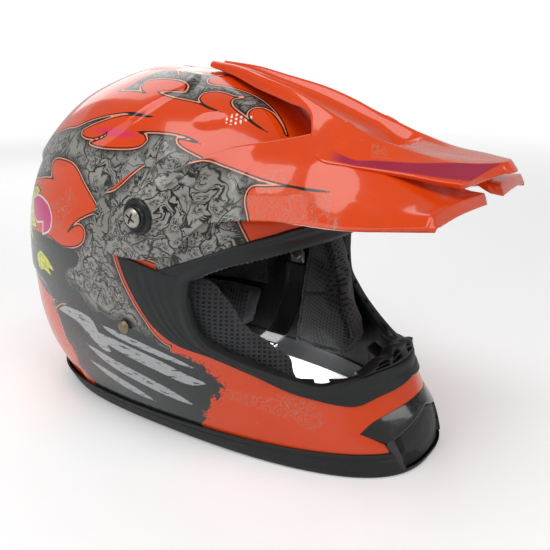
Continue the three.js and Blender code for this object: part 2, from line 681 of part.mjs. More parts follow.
// ---- assembly ----
const root = new THREE.Group();
function addPart(name, part, finish) {
  const { vertProperties, triVerts } = part.getMesh();
  const geometry = new THREE.BufferGeometry();
  geometry.setAttribute(
    "position",
    new THREE.BufferAttribute(new Float32Array(vertProperties), 3),
  );
  geometry.setIndex(new THREE.BufferAttribute(new Uint32Array(triVerts), 1));
  geometry.translate(0, MOVE_BACK, 0);
  geometry.computeVertexNormals();
  const mesh = new THREE.Mesh(geometry, new THREE.MeshStandardMaterial(finish));
  mesh.name = name;
  root.add(mesh);
}
function addPair(name, right, finish) {
  addPart(`${name}_right`, right, finish);
  addPart(`${name}_left`, mirror(right), finish);
}

addPart("outer_shell", outerShell(), FINISH.shellPaint);
addPart("bottom_edge_trim", bottomEdgeTrim(), FINISH.rimTrim);
addPart("eyeport_trim", eyeportTrim(), FINISH.eyeportTrim);
addPart("nose_guard", noseGuard(), FINISH.noseGuard);
addPart("chin_vent_frame", chinVentFrame(), FINISH.glossBlack);
addPart("chin_vent_panel", chinVentPanel(), FINISH.ventPanel);
addPart("chin_vent_mesh", chinVentMesh(), FINISH.ventMesh);
addPart("eps_liner", epsLiner(), FINISH.foam);
addPart("chin_eps", chinEps(), FINISH.foam);
addPart("crown_liner", crownLiner(), FINISH.lining);
addPair("cheek_pad", cheekPadRight(), FINISH.cheekPad);
addPart("neck_roll", neckRoll(), FINISH.lining);
addPart("peak", peak(), FINISH.peakPaint);
addPair("peak_washer", peakWasherRight(), FINISH.washer);
addPair("peak_screw", peakScrewRight(), FINISH.screw);
addPair("peak_nut", peakNutRight(), FINISH.plainMetal);
addPair("strap_rivet", strapRivetRight(), FINISH.rivet);
addPair("strap_plate", strapPlateRight(), FINISH.plainMetal);
addPart("chin_strap_right", chinStrapRight(), FINISH.webbing);
addPart("chin_strap_left", chinStrapLeft(), FINISH.webbing);
addPart("d_ring_lower", dRing(LOOP.z - RING_RISE), FINISH.ring);
addPart("d_ring_upper", dRing(LOOP.z + RING_RISE), FINISH.ring);

export default root;
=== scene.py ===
"""Motocross helmet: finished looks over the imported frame.

Shapes are drawn in millimetres: x to the wearer's left, y backwards, z up from the bottom rim.
"Forward" is -y. place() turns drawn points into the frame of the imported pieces, in metres.
"""

import bpy, bmesh, math, random
import numpy as np
from contextlib import contextmanager
from mathutils import Matrix, Vector


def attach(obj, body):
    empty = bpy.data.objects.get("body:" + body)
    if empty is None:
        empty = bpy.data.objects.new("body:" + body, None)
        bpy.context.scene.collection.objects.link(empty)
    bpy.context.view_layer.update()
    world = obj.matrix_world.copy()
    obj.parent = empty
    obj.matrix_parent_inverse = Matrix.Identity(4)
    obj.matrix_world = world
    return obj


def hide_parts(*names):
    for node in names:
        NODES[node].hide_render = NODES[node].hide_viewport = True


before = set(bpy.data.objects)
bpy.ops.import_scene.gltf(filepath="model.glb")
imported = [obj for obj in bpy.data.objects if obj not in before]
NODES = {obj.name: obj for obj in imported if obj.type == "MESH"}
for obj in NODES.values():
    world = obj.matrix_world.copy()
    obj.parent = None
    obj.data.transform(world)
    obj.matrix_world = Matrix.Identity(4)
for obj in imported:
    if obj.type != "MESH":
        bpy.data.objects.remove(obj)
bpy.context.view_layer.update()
random.seed(7)

MOVE_BACK = 12.5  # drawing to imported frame, along +y
MIRROR = np.array([-1, 1, 1])
SIDES = ((-1, "right"), (1, "left"))  # sign of x, name
FAR = 22.0  # distances to painted outlines are kept within this


def place(points):
    """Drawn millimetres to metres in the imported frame."""
    return (np.asarray(points, float) + np.array([0.0, MOVE_BACK, 0.0])) / 1000.0


# ------------------------------------------------------------------ curves
def unit(value):
    """value limited to 0..1."""
    return np.clip(value, 0, 1)


def ease(part):
    return part * part * (3 - 2 * part)


def swell(distance, width):
    """Bell curve, 1 where distance is 0."""
    return np.exp(-((distance / width) ** 2))


def rounded(part):
    """Quarter-circle rise, 0 at 0 and 1 from 1 on."""
    return np.sqrt(unit(1 - (1 - unit(part)) ** 2))


def blend(part, start, end, start_slope, end_slope):
    """Cubic from start to end as part runs 0 to 1."""
    square, cube = part**2, part**3
    return ((2 * cube - 3 * square + 1) * start + (cube - 2 * square + part) * start_slope
            + (3 * square - 2 * cube) * end + (cube - square) * end_slope)


def spline(keys, knots, where):
    """Smooth curve through keys, one key per knot, evaluated at where."""
    keys, knots, where = (np.asarray(item, float) for item in (keys, knots, where))
    order = np.arange(len(knots))
    after, before = np.minimum(order + 1, len(knots) - 1), np.maximum(order - 1, 0)
    tail = (1,) * (keys.ndim - 1)
    slope = (keys[after] - keys[before]) / (knots[after] - knots[before]).reshape((-1,) + tail)
    i = np.clip(np.searchsorted(knots, where, "right") - 1, 0, len(knots) - 2)
    gap = (knots[i + 1] - knots[i]).reshape(where.shape + tail)
    part = (where - knots[i]).reshape(where.shape + tail) / gap
    return blend(part, keys[i], keys[i + 1], slope[i] * gap, slope[i + 1] * gap)


def arc_lengths(points):
    """Distance run at each point of a line, from 0."""
    steps = np.linalg.norm(np.diff(points, axis=0), axis=1)
    return np.concatenate([[0], np.cumsum(steps)])


def spline_line(points, count):
    """count evenly spaced points on the smooth line through points."""
    points = np.asarray(points, float)
    knots = arc_lengths(points)
    return spline(points, knots, np.linspace(0, knots[-1], count))


def unit_vectors(vectors, least=1e-12):
    return vectors / (np.linalg.norm(vectors, axis=-1, keepdims=True) + least)


# ------------------------------------------------------------------ outer surface of the shell
# z, front and back ends (forward), half width, forward of the widest place, roundness power of
# the front and of the back, narrowing of the front
SECTIONS = np.array([
    [0, 180, -152, 84, -30, 2.8, 3.0, 0.08],
    [22, 178, -166, 94, -30, 2.25, 2.9, 0.11],
    [45, 170, -177, 103, -30, 1.95, 2.8, 0.12],
    [70, 157, -184, 110.5, -30, 1.85, 2.6, 0.08],
    [97, 140, -188, 115.5, -30, 2.15, 2.4, 0.02],
    [122, 123, -189, 119, -30, 2.4, 2.25, 0],
    [147, 108, -187, 120.5, -29, 2.5, 2.15, 0],
    [174, 107, -180, 118, -28, 2.4, 2.1, 0],
    [200, 98, -167, 110, -28, 2.2, 2.05, 0],
    [222, 84, -149, 97, -29, 2.1, 2, 0],
    [242, 60, -124, 77, -31, 2.05, 2, 0],
    [256, 31, -95, 52, -32, 2, 2, 0],
    [264.5, 4, -66, 27, -33, 2, 2, 0],
    [268, -33, -33, 0, -33, 2, 2, 0],
], float)
# level of each section: 0 at the rim, 90 at the crown
LEVELS = np.array([0, 9, 18, 27, 36, 44, 52, 60, 67, 73, 79, 84, 87.5, 90], float)


def section_at(level):
    """The eight section columns at a level."""
    return np.moveaxis(spline(SECTIONS, LEVELS, level), -1, 0)


def surface(level, turn):
    """Shell points; turn is the angle round from the front (0) through +x to the back (pi)."""
    level, turn = np.broadcast_arrays(np.asarray(level, float), np.asarray(turn, float))
    z, front, back, half, middle, front_power, back_power, narrowing = section_at(level)
    cos, sin = np.cos(turn), np.sin(turn)
    ahead = cos >= -1e-12
    power = 2 / np.where(ahead, front_power, back_power)
    reach = np.abs(cos) ** power
    forward = middle + np.where(ahead, front - middle, back - middle) * reach
    x = np.sign(sin) * half * np.abs(sin) ** power * np.where(ahead, 1 - narrowing * reach, 1)
    return np.stack([x, -forward, z], -1)


def surface_normals(level, turn):
    level, turn = np.broadcast_arrays(np.asarray(level, float), np.asarray(turn, float))
    level_step, turn_step = 0.35, 0.02
    rise = surface(np.minimum(89.97, level + level_step), turn)
    rise = rise - surface(np.maximum(0, level - level_step), turn)
    sweep = surface(level, turn + turn_step) - surface(level, turn - turn_step)
    normal = unit_vectors(np.cross(sweep, rise))
    normal[level > 89.5] = (0, 0, 1)
    return normal


def offset(level, turn, out):
    """Shell points moved out along the normal."""
    return surface(level, turn) + surface_normals(level, turn) * np.asarray(out, float)[..., None]


FINE_LEVELS = np.linspace(0, 90, 9001)
FINE_HEIGHTS = section_at(FINE_LEVELS)[0]
FRONT_QUARTER = np.linspace(0, math.pi / 2, 721)


def level_of(z):
    return np.interp(z, FINE_HEIGHTS, FINE_LEVELS)


def front_turn(forward, z):
    """Turn on the front half at a forward place and height, and its share of the full reach."""
    _, front, _, _, middle, power, _, _ = section_at(level_of(z))
    reach = (forward - middle) / (front - middle)
    return np.arccos(unit(np.abs(reach)) ** (power / 2)), reach


def side_turn(forward, z):
    """Turn on the +x side at a forward place and height."""
    _, front, back, _, middle, front_power, back_power, _ = section_at(level_of(z))
    ahead = forward >= middle
    reach = unit((forward - middle) / (np.where(ahead, front, back) - middle))
    cos = reach ** (np.where(ahead, front_power, back_power) / 2)
    return np.arccos(np.where(ahead, cos, -cos))


def on_shell(x, z, out):
    """Points on the front half at side place x and height z, moved out along the normal."""
    x, z = np.broadcast_arrays(np.asarray(x, float), np.asarray(z, float))
    turn = np.zeros(x.shape)
    for index in np.ndindex(x.shape):
        halves = surface(float(level_of(z[index])), FRONT_QUARTER)[:, 0]
        last = int(np.argmax(halves)) + 1
        found = np.interp(abs(x[index]), halves[:last], FRONT_QUARTER[:last])
        turn[index] = math.copysign(found, x[index])
    return offset(level_of(z), turn, out)


def paint_coords(points):
    """Paint plane in mm, the same on both sides: fore and rise run from (forward -20, z 130)."""
    x, fore, rise = np.abs(points[..., 0]), -points[..., 1] + 20, points[..., 2] - 130
    radius = np.hypot(fore, rise) + 1e-9
    chord = np.sqrt(radius * radius + (120 - x) ** 2)
    return fore / radius * chord, rise / radius * chord


# ------------------------------------------------------------------ outlines
def outline(text):
    """Pairs "a b, a b" as a list of points."""
    return [tuple(map(float, pair.split())) for pair in text.split(",")]


# forward and z in side view
OPENING = outline("""51 137, 50 125, 52 106, 57 93, 70 83, 87 74, 110 65, 122 62, 131 64, 141 67,
    150 70, 300 80, 300 158, 101 155, 91 153, 78 150, 66 146, 57 141""")
SHELL_CUT = outline("""46 139, 45 125, 47 105, 53 90, 67 79, 85 70, 109 61, 122 58, 132 60, 142 63,
    152 66, 300 76, 300 162, 101 159, 90 157, 77 154, 64 150, 54 145""")
TRIM_OUT = outline("""0 150.6, 6 132.7, 14 115, 22 101, 32 91, 55 84, 75 73, 92 64, 110 55, 129 50,
    137 48, 144 48, 154 53, 161 57, 168 62, 300 70, 300 175, 107 172, 95 168, 81 163.5,
    61.6 155.6, 45 149, 31 143.5, 14 148""")
CUSHION = outline("""20 24, 20 112, 22 130, 34 135, 47 133, 58 118, 66 104, 80 84, 92 70, 98 52,
    84 30, 60 24""")
# x and z in front view
VENT_GROWN = outline("""-52 33.4, -26 48.4, 0 53.4, 26 48.4, 52 33.4, 35.4 21, 31.4 3.3,
    -31.4 3.3, -35.4 21""")

# the rest are fore and rise in the paint plane
GREY_SIDE = outline("""-230 95, -104.6 93, -79.1 96.2, -60 99.9, -48.2 101.3, -36.5 105.7,
    -25.7 109.1, -15.4 111.6, -5.6 113.5, 4 114.7, 14.2 114.3, 24.4 113.3, 15.2 113, 5.7 112.7,
    -6.4 110.3, -18.3 106, -29.5 101.5, -35.5 98.1, -32.9 95.5, -26 93.9, -18.4 93.9, -11.8 95.7,
    -8 98.3, -6.9 99.7, -6.9 96.7, -10.5 93.9, -16.8 91.7, -19.6 90.5, -15.1 89.3, -5.3 88.8,
    8.2 89.4, 18.6 90.6, 24.8 92.8, 26.7 96.3, 24.2 99.3, 18.7 101, 10.7 101.4, 3.6 100.8,
    13.8 101.4, 25.1 102.6, 34.6 103.2, 44 103.1, 52.7 102.1, 59.8 100, 65.3 97.7, 58.7 98.5,
    52.8 99.4, 48.7 99.7, 50.5 97.1, 55.8 94.1, 63.5 91.1, 72.8 87.8, 85.3 84.8, 96.9 81.7,
    113.8 77.5, 134.3 70, 101.4 50, 108.3 36.9, 112 26, 80 8, 57.3 2, 48 10, 21.6 21.9, 26.6 3,
    33.1 -15.2, 40 -33.2, 48 -42.9, 55.4 -47.8, 56.3 -52.4, 48.2 -48.6, 38.4 -44.5, 30.6 -37.8,
    22.7 -35.5, 15.5 -29.7, 7.2 -32.7, -2.1 -31.3, -7.5 -29.1, -14.4 -30.8, -21.5 -26.1,
    -25.8 -19.3, -31.6 -16, -39.5 -14, -42.5 -7.8, -43.7 -3.6, -49.5 -0.3, -59.8 -4.3, -73.7 -4.6,
    -86 -3, -123.1 -5.7, -230 -10""")
HEART = outline("""-99.7 56.3, -71.8 60.2, -57.3 61.2, -64.7 65.9, -66.5 71, -59.1 75, -48.7 76,
    -36.8 74.5, -27 70.5, -15.8 62, -6.4 54.7, 1.2 48.2, -0.5 46.5, -10.2 42.5, -19.7 37.8,
    -27 32.3, -32.5 26.6, -23.8 32.2, -17.6 34.4, -13.3 32.6, -12.3 29, -14.2 24.3, -19.6 20.2,
    -28.5 17.3, -39 16, -47.7 17, -52.9 18.6, -58.7 19.5, -83.1 17.9, -121.7 15, -235 17,
    -235 58""")
GREY_CROWN = outline("""-30.5 131.9, -25.2 139.2, -24.2 147.4, -20.3 154, -16 161.3, -4.9 164.8,
    8.5 155.9, 10.2 157.4, 6 163.7, 15.3 164, 30.5 166.1, 41.4 168.5, 32 161.3, 32.8 156.6,
    38.7 151.6, 47.5 152.1, 60.8 151.8, 73.5 149.5, 86.1 144.1, 98.2 135.6, 108.4 124.6,
    116.1 112.8, 114.1 112.8, 109.7 119.4, 102.4 127.4, 95.9 132.3, 88.8 134, 84.5 131.5,
    84.1 126.5, 87.4 121.6, 95.3 116.7, 102.9 112.7, 93 116.8, 82.6 122.8, 71 129.7, 66.6 134.6,
    66.2 138.8, 70.8 142, 65.5 140.9, 57.6 142.5, 49.2 142.6, 43.5 139, 44.5 133.6, 51 128.6,
    58.5 126.1, 66.8 123.8, 57 125.4, 47.1 128.5, 31.7 130.2, 16.9 131.4, 9.8 134.4, 23.1 136.7,
    28.6 138.3, 27.2 143.2, 21.1 146.2, 11.9 147.7, -3.8 146.9, -12.7 144.3, -11.2 138.8,
    -4.3 134.2, 3.4 131.4, -4.9 132.2, -15.3 132.5""")
CHARCOAL = outline("""-45.9 -30.8, -52.1 -19.5, -43.7 -3.6, -42.5 -7.8, -39.5 -14, -31.6 -16,
    -25.8 -19.3, -21.5 -26.1, -14.4 -30.8, -7.5 -29.1, -2.1 -31.3, 7.2 -32.7, 15.5 -29.7,
    22.7 -35.5, 30.6 -37.8, 38.4 -44.5, 48.2 -48.6, 52 -51.4, 59.4 -51.8, 65.6 -56.2, 73.3 -60.4,
    78.5 -66.6, 83.1 -73.5, 82.9 -80.2, 77.4 -87.7, 71.2 -93.2, 66.7 -100.3, 65.2 -108,
    60 -119.5, 56 -140, -50 -140, -61.5 -105.2, -66.5 -98.5, -62.1 -82.1, -67.7 -70.5,
    -69.7 -58.2, -75.8 -47.9""")
CHARCOAL_REAR = outline("""-53 17.9, -39.1 15.3, -25.4 15.9, -19.9 11.7, -23.6 4.3, -39 -3.1,
    -44.7 -13, -34.6 -17.8, -30.5 -24.7, -60.6 -32.7, -81.8 -34.5, -110 -27, -150 -30, -240 -30,
    -240 17, -122.2 15.6, -78.5 18.2""")
GREY_CHIN = outline("""53.4 -117.2, 58.4 -111.2, 65.1 -109.2, 69 -111.3, 77.6 -111.7, 86.2 -110.6,
    91.6 -107.2, 93.4 -103.9, 98 -104.3, 107.7 -108.6, 118.7 -113.4, 129.6 -118.8, 139 -123.9,
    141.5 -124.7, 144.1 -122.3, 136.4 -116.3, 125.7 -108.8, 115 -101.7, 105.8 -95.6, 99.8 -92.4,
    108.6 -93.7, 118 -95.2, 131.1 -98.8, 145.4 -104.4, 159.6 -111.9, 172.4 -120, 182.5 -128.4,
    190.1 -136.9, 120 -150, 51.3 -145""")
SCROLL_CHIN = outline("""86.8 -77.2, 94.9 -78.5, 105.5 -80.3, 116 -82.3, 126.4 -78.7, 139 -81.1,
    149 -85.1, 155.3 -93, 155.4 -100.7, 148 -104.9, 133.7 -99.3, 118 -94.5, 103.3 -91.1,
    91.2 -87.5, 83.5 -86.4, 82.9 -80.1""")
SCROLL_SIDE = outline("-60 40, -30 60, -20 50, -40 30, -56 24")
GREY_ARM = outline("""-30 61, 15.9 62.5, 38.6 81.6, 60.5 83.5, 75.4 87.4, 87.6 84.5, 98.8 81.4,
    115.2 77.2, 133.3 74.5, 160.3 72.5, 146.2 72.4, 133.5 73.7, 116.2 72.5, 110.1 71.8,
    107.7 68.6, 108.3 61.5, 111.5 54.8, 114.6 46, 90.4 40, 67.4 15, 18.4 10, -30 30""")
SCROLL_WING = outline("""113.7 80.7, 119.5 83.6, 125.2 83.7, 129.4 79.4, 146 73.2, 163.6 70.6,
    163 65.2, 172 56.9, 175.4 50.6, 178.6 43.9, 167.7 38.5, 158.8 40.1, 148.3 48.1, 131 50,
    116.7 51.1, 110 55.1, 107.4 66.3, 110.1 72.7""")
SLASHES = [outline(text) for text in (
    """-66.5 -41.4, -51.7 -35.4, -22 -37.7, -15 -50.5, -6.8 -63.6, -16 -64.4, -26.6 -56.5,
    -39.7 -46""",
    """-37.2 -52.4, -13.7 -48.7, 14.9 -53.8, 38.7 -61.4, 56.8 -69.9, 73.7 -76, 58.5 -79.4,
    34.5 -72.2, 9.9 -63.8, -13.3 -56.1""",
    """-12 -39.7, 4.5 -42.2, 24.8 -46.6, 50.3 -55.4, 68.7 -64.4, 52.4 -61, 26.1 -53.4,
    -0.4 -46.1""",
    """-38.1 -64.1, -18.6 -68.2, 11.6 -77.2, 40.7 -88.5, 59.3 -98.7, 39.8 -96.4, 10.4 -88.2,
    -22.9 -75.4""",
    "-44 -82, -24 -86, 2 -95, 22 -106, 0 -103, -26 -93",
)]
LIME = [outline(text) for text in (
    """-150 30, -120 44, -96 52, -80 50, -92 42, -78 36, -96 30, -84 20, -104 18, -98 6, -118 10,
    -124 -4, -140 8, -158 4, -170 18""",
    "-92 -4, -80 4, -66 0, -56 -9, -68 -8, -62 -16, -76 -12, -88 -14",
)]
MAGENTA = outline("-104 40, -84 46, -62 43, -54 34, -58 24, -72 18, -70 28, -88 26")
# lines (open) that join the grey and charcoal patches
BRIDGES = [outline(text) for text in (
    """52 -48, 44 -46.4, 38.4 -44.5, 30.6 -37.8, 22.7 -35.5, 15.5 -29.7, 7.2 -32.7, -2.1 -31.3,
    -7.5 -29.1, -14.4 -30.8, -21.5 -26.1, -25.8 -19.3, -31.6 -16, -39.5 -14, -42.5 -7.8, -47 -1,
    -59.8 -4.3, -73.7 -4.6, -86 -3, -123.1 -5.7, -235 -8""",
    "-76 -42, -60 -32.7, -45.9 -29, -30 -24",
)]
# edge of the raised panels at the back of the crown, and of the sunk area low at the back
CROWN_PANEL = outline("""30 141, 22 127, 13 113, 4 101.9, -12 88, -32 78, -60 72, -110 72,
    -150 92, -190 110, -240 120, -240 190, 0 190, 20 165""")
LOW_PANEL = outline("-86 -22.8, -70 -50, -72 -96, -72 -150, -260 -150, -260 -20")


def smooth_loop(points, corner=62):
    """Closed smooth line through points that keeps turns sharper than corner degrees."""
    points = np.asarray(points, float)
    count, step = len(points), 2.0
    edges = np.roll(points, -1, 0) - points
    lengths = np.linalg.norm(edges, axis=1) + 1e-9
    heading = edges / lengths[:, None]
    bends = [math.degrees(math.acos(max(-1, min(1, float(heading[i - 1] @ heading[i])))))
             for i in range(count)]
    out = []
    for i in range(count):
        j = (i + 1) % count
        here, there, length = points[i], points[j], lengths[i]
        leave = arrive = edges[i]
        if bends[i] <= corner:
            leave = (there - points[i - 1]) * length / (length + lengths[i - 1])
        if bends[j] <= corner:
            arrive = (points[(j + 1) % count] - here) * length / (length + lengths[j])
        steps = max(1, int(length / step))
        out.append(blend((np.arange(steps) / steps)[:, None], here, there, leave, arrive))
    return np.vstack(out)


def segment_distance2(x, y, start, end):
    """Squared distance from (x, y) to the segment."""
    (start_x, start_y), (end_x, end_y) = start, end
    run_x, run_y = end_x - start_x, end_y - start_y
    off_x, off_y = x - start_x, y - start_y
    part = unit((off_x * run_x + off_y * run_y) / (run_x * run_x + run_y * run_y + 1e-12))
    return (off_x - run_x * part) ** 2 + (off_y - run_y * part) ** 2


def signed_distance(x, y, loop, reach=FAR):
    """Distance to a closed outline, negative inside, kept within +-reach."""
    loop = np.asarray(loop, float)
    low, high = loop.min(0) - reach, loop.max(0) + reach
    out = np.full(x.shape, reach)
    near = (x > low[0]) & (x < high[0]) & (y > low[1]) & (y < high[1])
    x, y = x[near], y[near]
    nearest = np.full(x.shape, reach * reach)
    within = np.zeros(x.shape, bool)
    for start, end in zip(loop, np.roll(loop, -1, 0)):
        np.minimum(nearest, segment_distance2(x, y, start, end), out=nearest)
        if start[1] != end[1]:
            crossing = (end[0] - start[0]) * (y - start[1]) / (end[1] - start[1]) + start[0]
            within ^= ((start[1] > y) != (end[1] > y)) & (x < crossing)
    out[near] = np.where(within, -1, 1) * np.sqrt(nearest)
    return out


def inside(x, y, loop):
    return signed_distance(x, y, loop, 1.0) < 0


def line_distance(x, y, line):
    squares = [segment_distance2(x, y, *ends) for ends in zip(line[:-1], line[1:])]
    return np.sqrt(np.minimum.reduce(squares))


def loops_distance(x, y, loops, corner=62):
    """Least signed distance to a set of smoothed outlines."""
    return np.minimum.reduce([signed_distance(x, y, smooth_loop(loop, corner)) for loop in loops])


# ------------------------------------------------------------------ mesh makers
@contextmanager
def editing(mesh):
    """The mesh opened as a bmesh and written back afterwards."""
    work = bmesh.new()
    work.from_mesh(mesh)
    yield work
    work.to_mesh(mesh)
    work.free()
    mesh.update()


def link_object(name, data):
    obj = bpy.data.objects.new(name, data)
    bpy.context.scene.collection.objects.link(obj)
    return obj


def smooth_shading(mesh):
    mesh.polygons.foreach_set("use_smooth", np.ones(len(mesh.polygons), bool))


def add_attributes(mesh, layers):
    """Point attributes: vectors for (n, 3) arrays, plain numbers otherwise."""
    for name, values in layers.items():
        values = np.asarray(values, np.float32)
        kind, field = ("FLOAT_VECTOR", "vector") if values.ndim == 2 else ("FLOAT", "value")
        mesh.attributes.new(name, kind, "POINT").data.foreach_set(field, values.ravel())


def pattern(first, second):
    """Attribute with the two pattern coordinates, in mm, that the shaders read."""
    first, second = np.broadcast_arrays(first, second)
    return {"pmm": np.stack([first, second, np.zeros(first.shape)], -1).reshape(-1, 3)}


def claim(obj, body, slot, replace=True):
    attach(obj, body)
    if replace:
        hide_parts(slot)


def add_mesh(name, points, faces, material, slot, body="helmet", replace=True, layers=None,
             sharp=None, outward=False):
    """sharp: degrees beyond which edges stay hard; outward: faces turned to point out."""
    mesh = bpy.data.meshes.new(name)
    faces = faces.tolist() if isinstance(faces, np.ndarray) else faces
    mesh.from_pydata(place(points).tolist(), [], faces)
    mesh.materials.append(material)
    smooth_shading(mesh)
    add_attributes(mesh, layers or {})
    mesh.update()
    if sharp:
        mesh.set_sharp_from_angle(angle=math.radians(sharp))
    obj = link_object(name, mesh)
    claim(obj, body, slot, replace)
    if outward:
        with editing(mesh) as work:
            bmesh.ops.recalc_face_normals(work, faces=work.faces)
    return obj


def grid_faces(rows, columns, wrap=False, flip=False):
    spans = columns if wrap else columns - 1
    i, j = np.meshgrid(np.arange(rows - 1), np.arange(spans), indexing="ij")
    near = i * columns + j
    far = i * columns + (j + 1) % columns
    faces = np.stack([near, far, far + columns, near + columns], -1).reshape(-1, 4)
    return faces[:, ::-1] if flip else faces


def tube_faces(rings, around):
    """Faces of a tube of rings, closed by a cap at each end."""
    caps = [list(range(around))[::-1], list(range((rings - 1) * around, rings * around))]
    return grid_faces(rings, around, wrap=True).tolist() + caps


def compact(points, faces):
    """Only the points that faces use."""
    used = np.unique(faces)
    number = np.full(len(points), -1)
    number[used] = np.arange(len(used))
    return points[used], number[faces]


def grid_normals(grid):
    return unit_vectors(np.cross(np.gradient(grid, axis=0), np.gradient(grid, axis=1)))


def thick_grid(outer, thick, flip=False, rim=3, push=0, bulge=0.22):
    """Closed sheet from outer (rows, columns, 3). The other side lies thick away, plus push, and
    rim rows join the two with a bulge."""
    rows, columns = outer.shape[:2]
    normal = grid_normals(outer) * (-1 if flip else 1)
    thick = np.broadcast_to(np.asarray(thick, float), (rows, columns))
    other = outer + normal * thick[..., None] + push
    loop = [(0, j) for j in range(columns)] + [(i, columns - 1) for i in range(1, rows)]
    loop += [(rows - 1, j) for j in range(columns - 2, -1, -1)]
    loop += [(i, 0) for i in range(rows - 2, 0, -1)]
    row, column = np.array(loop).T
    start, end = outer[row, column], other[row, column]
    within = outer[np.clip(row, 1, rows - 2), np.clip(column, 1, columns - 2)]
    out = np.cross(np.roll(start, -1, 0) - np.roll(start, 1, 0), end - start)
    out = unit_vectors(out)
    out *= np.where(((start - within) * out).sum(1) < 0, -1, 1)[:, None]
    count = rows * columns
    points = [outer.reshape(-1, 3), other.reshape(-1, 3)]
    faces = [grid_faces(rows, columns), grid_faces(rows, columns, flip=True) + count]
    rings = [row * columns + column]
    height = min(2.6, float(thick.mean())) * bulge
    for k in range(1, rim + 1):
        part = k / (rim + 1)
        share = part if rim < 4 else 0.5 - 0.5 * math.cos(math.pi * part)
        points.append(start + (end - start) * share + out * height * math.sin(math.pi * part) ** 0.6)
        rings.append(2 * count + (k - 1) * len(loop) + np.arange(len(loop)))
    rings.append(count + rings[0])
    for ring, following in zip(rings[:-1], rings[1:]):
        quads = [ring, following, np.roll(following, -1), np.roll(ring, -1)]
        faces.append(np.stack(quads, -1))
    return np.vstack(points), np.vstack(faces)


def fillet_rows(lines, radii, round_steps, flat_steps):
    """Polylines (rows, corners, 3) with corners rounded; every row gets as many points."""
    def straight(start, end):
        part = np.linspace(0, 1, flat_steps + 1)[None, :, None]
        return start[:, None] * (1 - part) + end[:, None] * part

    pieces, start = [], lines[:, 0]
    part = np.linspace(0, 1, round_steps + 1)[None, :, None]
    for j in range(1, lines.shape[1] - 1):
        corner, ends = lines[:, j], []
        for other in (lines[:, j - 1], lines[:, j + 1]):
            length = np.linalg.norm(other - corner, axis=1, keepdims=True) + 1e-9
            ends.append(corner + (other - corner) / length * np.minimum(radii[j], 0.45 * length))
        curve = ((1 - part) ** 2 * ends[0][:, None] + 2 * part * (1 - part) * corner[:, None]
                 + part * part * ends[1][:, None])
        pieces += [straight(start, ends[0])[:, :-1], curve[:, :-1]]
        start = ends[1]
    return np.concatenate(pieces + [straight(start, lines[:, -1])], 1)


def both_sides(rows):
    """Rows that start on the centre line, continued over the other side."""
    return np.concatenate([rows[:, ::-1] * MIRROR, rows[:, 1:]], 1)


def add_closed_rows(rows, name, material, slot, replace=True):
    """rows (rows, columns, 3): each column is a closed loop, the end columns are capped."""
    points = np.transpose(rows, (1, 0, 2)).reshape(-1, 3)
    add_mesh(name, points, tube_faces(rows.shape[1], rows.shape[0]), material, slot,
             replace=replace, sharp=58, outward=True)


# ------------------------------------------------------------------ shader helpers
class Value:
    """A node output; arithmetic on it adds Math nodes."""

    def __init__(self, graph, socket):
        self.graph, self.socket = graph, socket

    def math(self, kind, *terms):
        return self.graph.add("Math", dict(enumerate(terms)), operation=kind)

    def __add__(self, other):
        return self.math("ADD", self, other)

    def __radd__(self, other):
        return self.math("ADD", other, self)

    def __sub__(self, other):
        return self.math("SUBTRACT", self, other)

    def __rsub__(self, other):
        return self.math("SUBTRACT", other, self)

    def __mul__(self, other):
        return self.math("MULTIPLY", self, other)

    def __abs__(self):
        return self.math("ABSOLUTE", self)


class Graph:
    """Node tree of a new material that ends in a Principled shader."""

    def __init__(self, name):
        self.material = bpy.data.materials.new(name)
        self.material.use_nodes = True
        self.tree = self.material.node_tree
        self.tree.nodes.clear()
        output = self.tree.nodes.new("ShaderNodeOutputMaterial")
        self.shader = self.tree.nodes.new("ShaderNodeBsdfPrincipled")
        self.tree.links.new(self.shader.outputs[0], output.inputs[0])

    def put(self, socket, value):
        if isinstance(value, Value):
            self.tree.links.new(value.socket, socket)
        elif socket.type == "RGBA":
            socket.default_value = (*value, 1.0)
        else:
            socket.default_value = value

    def node(self, kind, inputs, **settings):
        node = self.tree.nodes.new("ShaderNode" + kind)
        for key, value in settings.items():
            setattr(node, key, value)
        for key, value in inputs.items():
            if value is not None:
                self.put(node.inputs[key], value)
        return node

    def add(self, kind, inputs, output=0, **settings):
        """A new node's output."""
        return Value(self, self.node(kind, inputs, **settings).outputs[output])

    def attribute(self, name, output="Fac"):
        return self.add("Attribute", {}, output, attribute_name=name)

    def position(self):
        """Object coordinates, in metres."""
        return self.add("TexCoord", {}, "Object")

    def finish(self, **inputs):
        """Sets the shader's inputs, with _ for spaces in their names."""
        for key, value in inputs.items():
            self.put(self.shader.inputs[key.replace("_", " ")], value)
        return self.material


def apply(kind, value, *others):
    return value.math(kind, value, *others)


def sine(value):
    return apply("SINE", value)


def vector(kind, first, second=None, scale=None):
    output = "Value" if kind == "LENGTH" else "Vector"
    inputs = {0: first, 1: second, "Scale": scale}
    return first.graph.add("VectorMath", inputs, output, operation=kind)


def split(value):
    graph = value.graph
    return [Value(graph, out) for out in graph.node("SeparateXYZ", {0: value}).outputs]


def join(x, y):
    return x.graph.add("CombineXYZ", {0: x, 1: y, 2: 0.0})


def noise(where, scale, detail=2.0, rough=0.5, distort=0.0, dims="3D", output=0):
    inputs = {"Vector": where, "Scale": scale, "Detail": detail, "Roughness": rough,
              "Distortion": distort}
    return where.graph.add("TexNoise", inputs, output, noise_dimensions=dims)


def flat_noise(where, scale, detail=2.0, rough=0.5, **more):
    return noise(where, scale, detail, rough, dims="2D", **more)


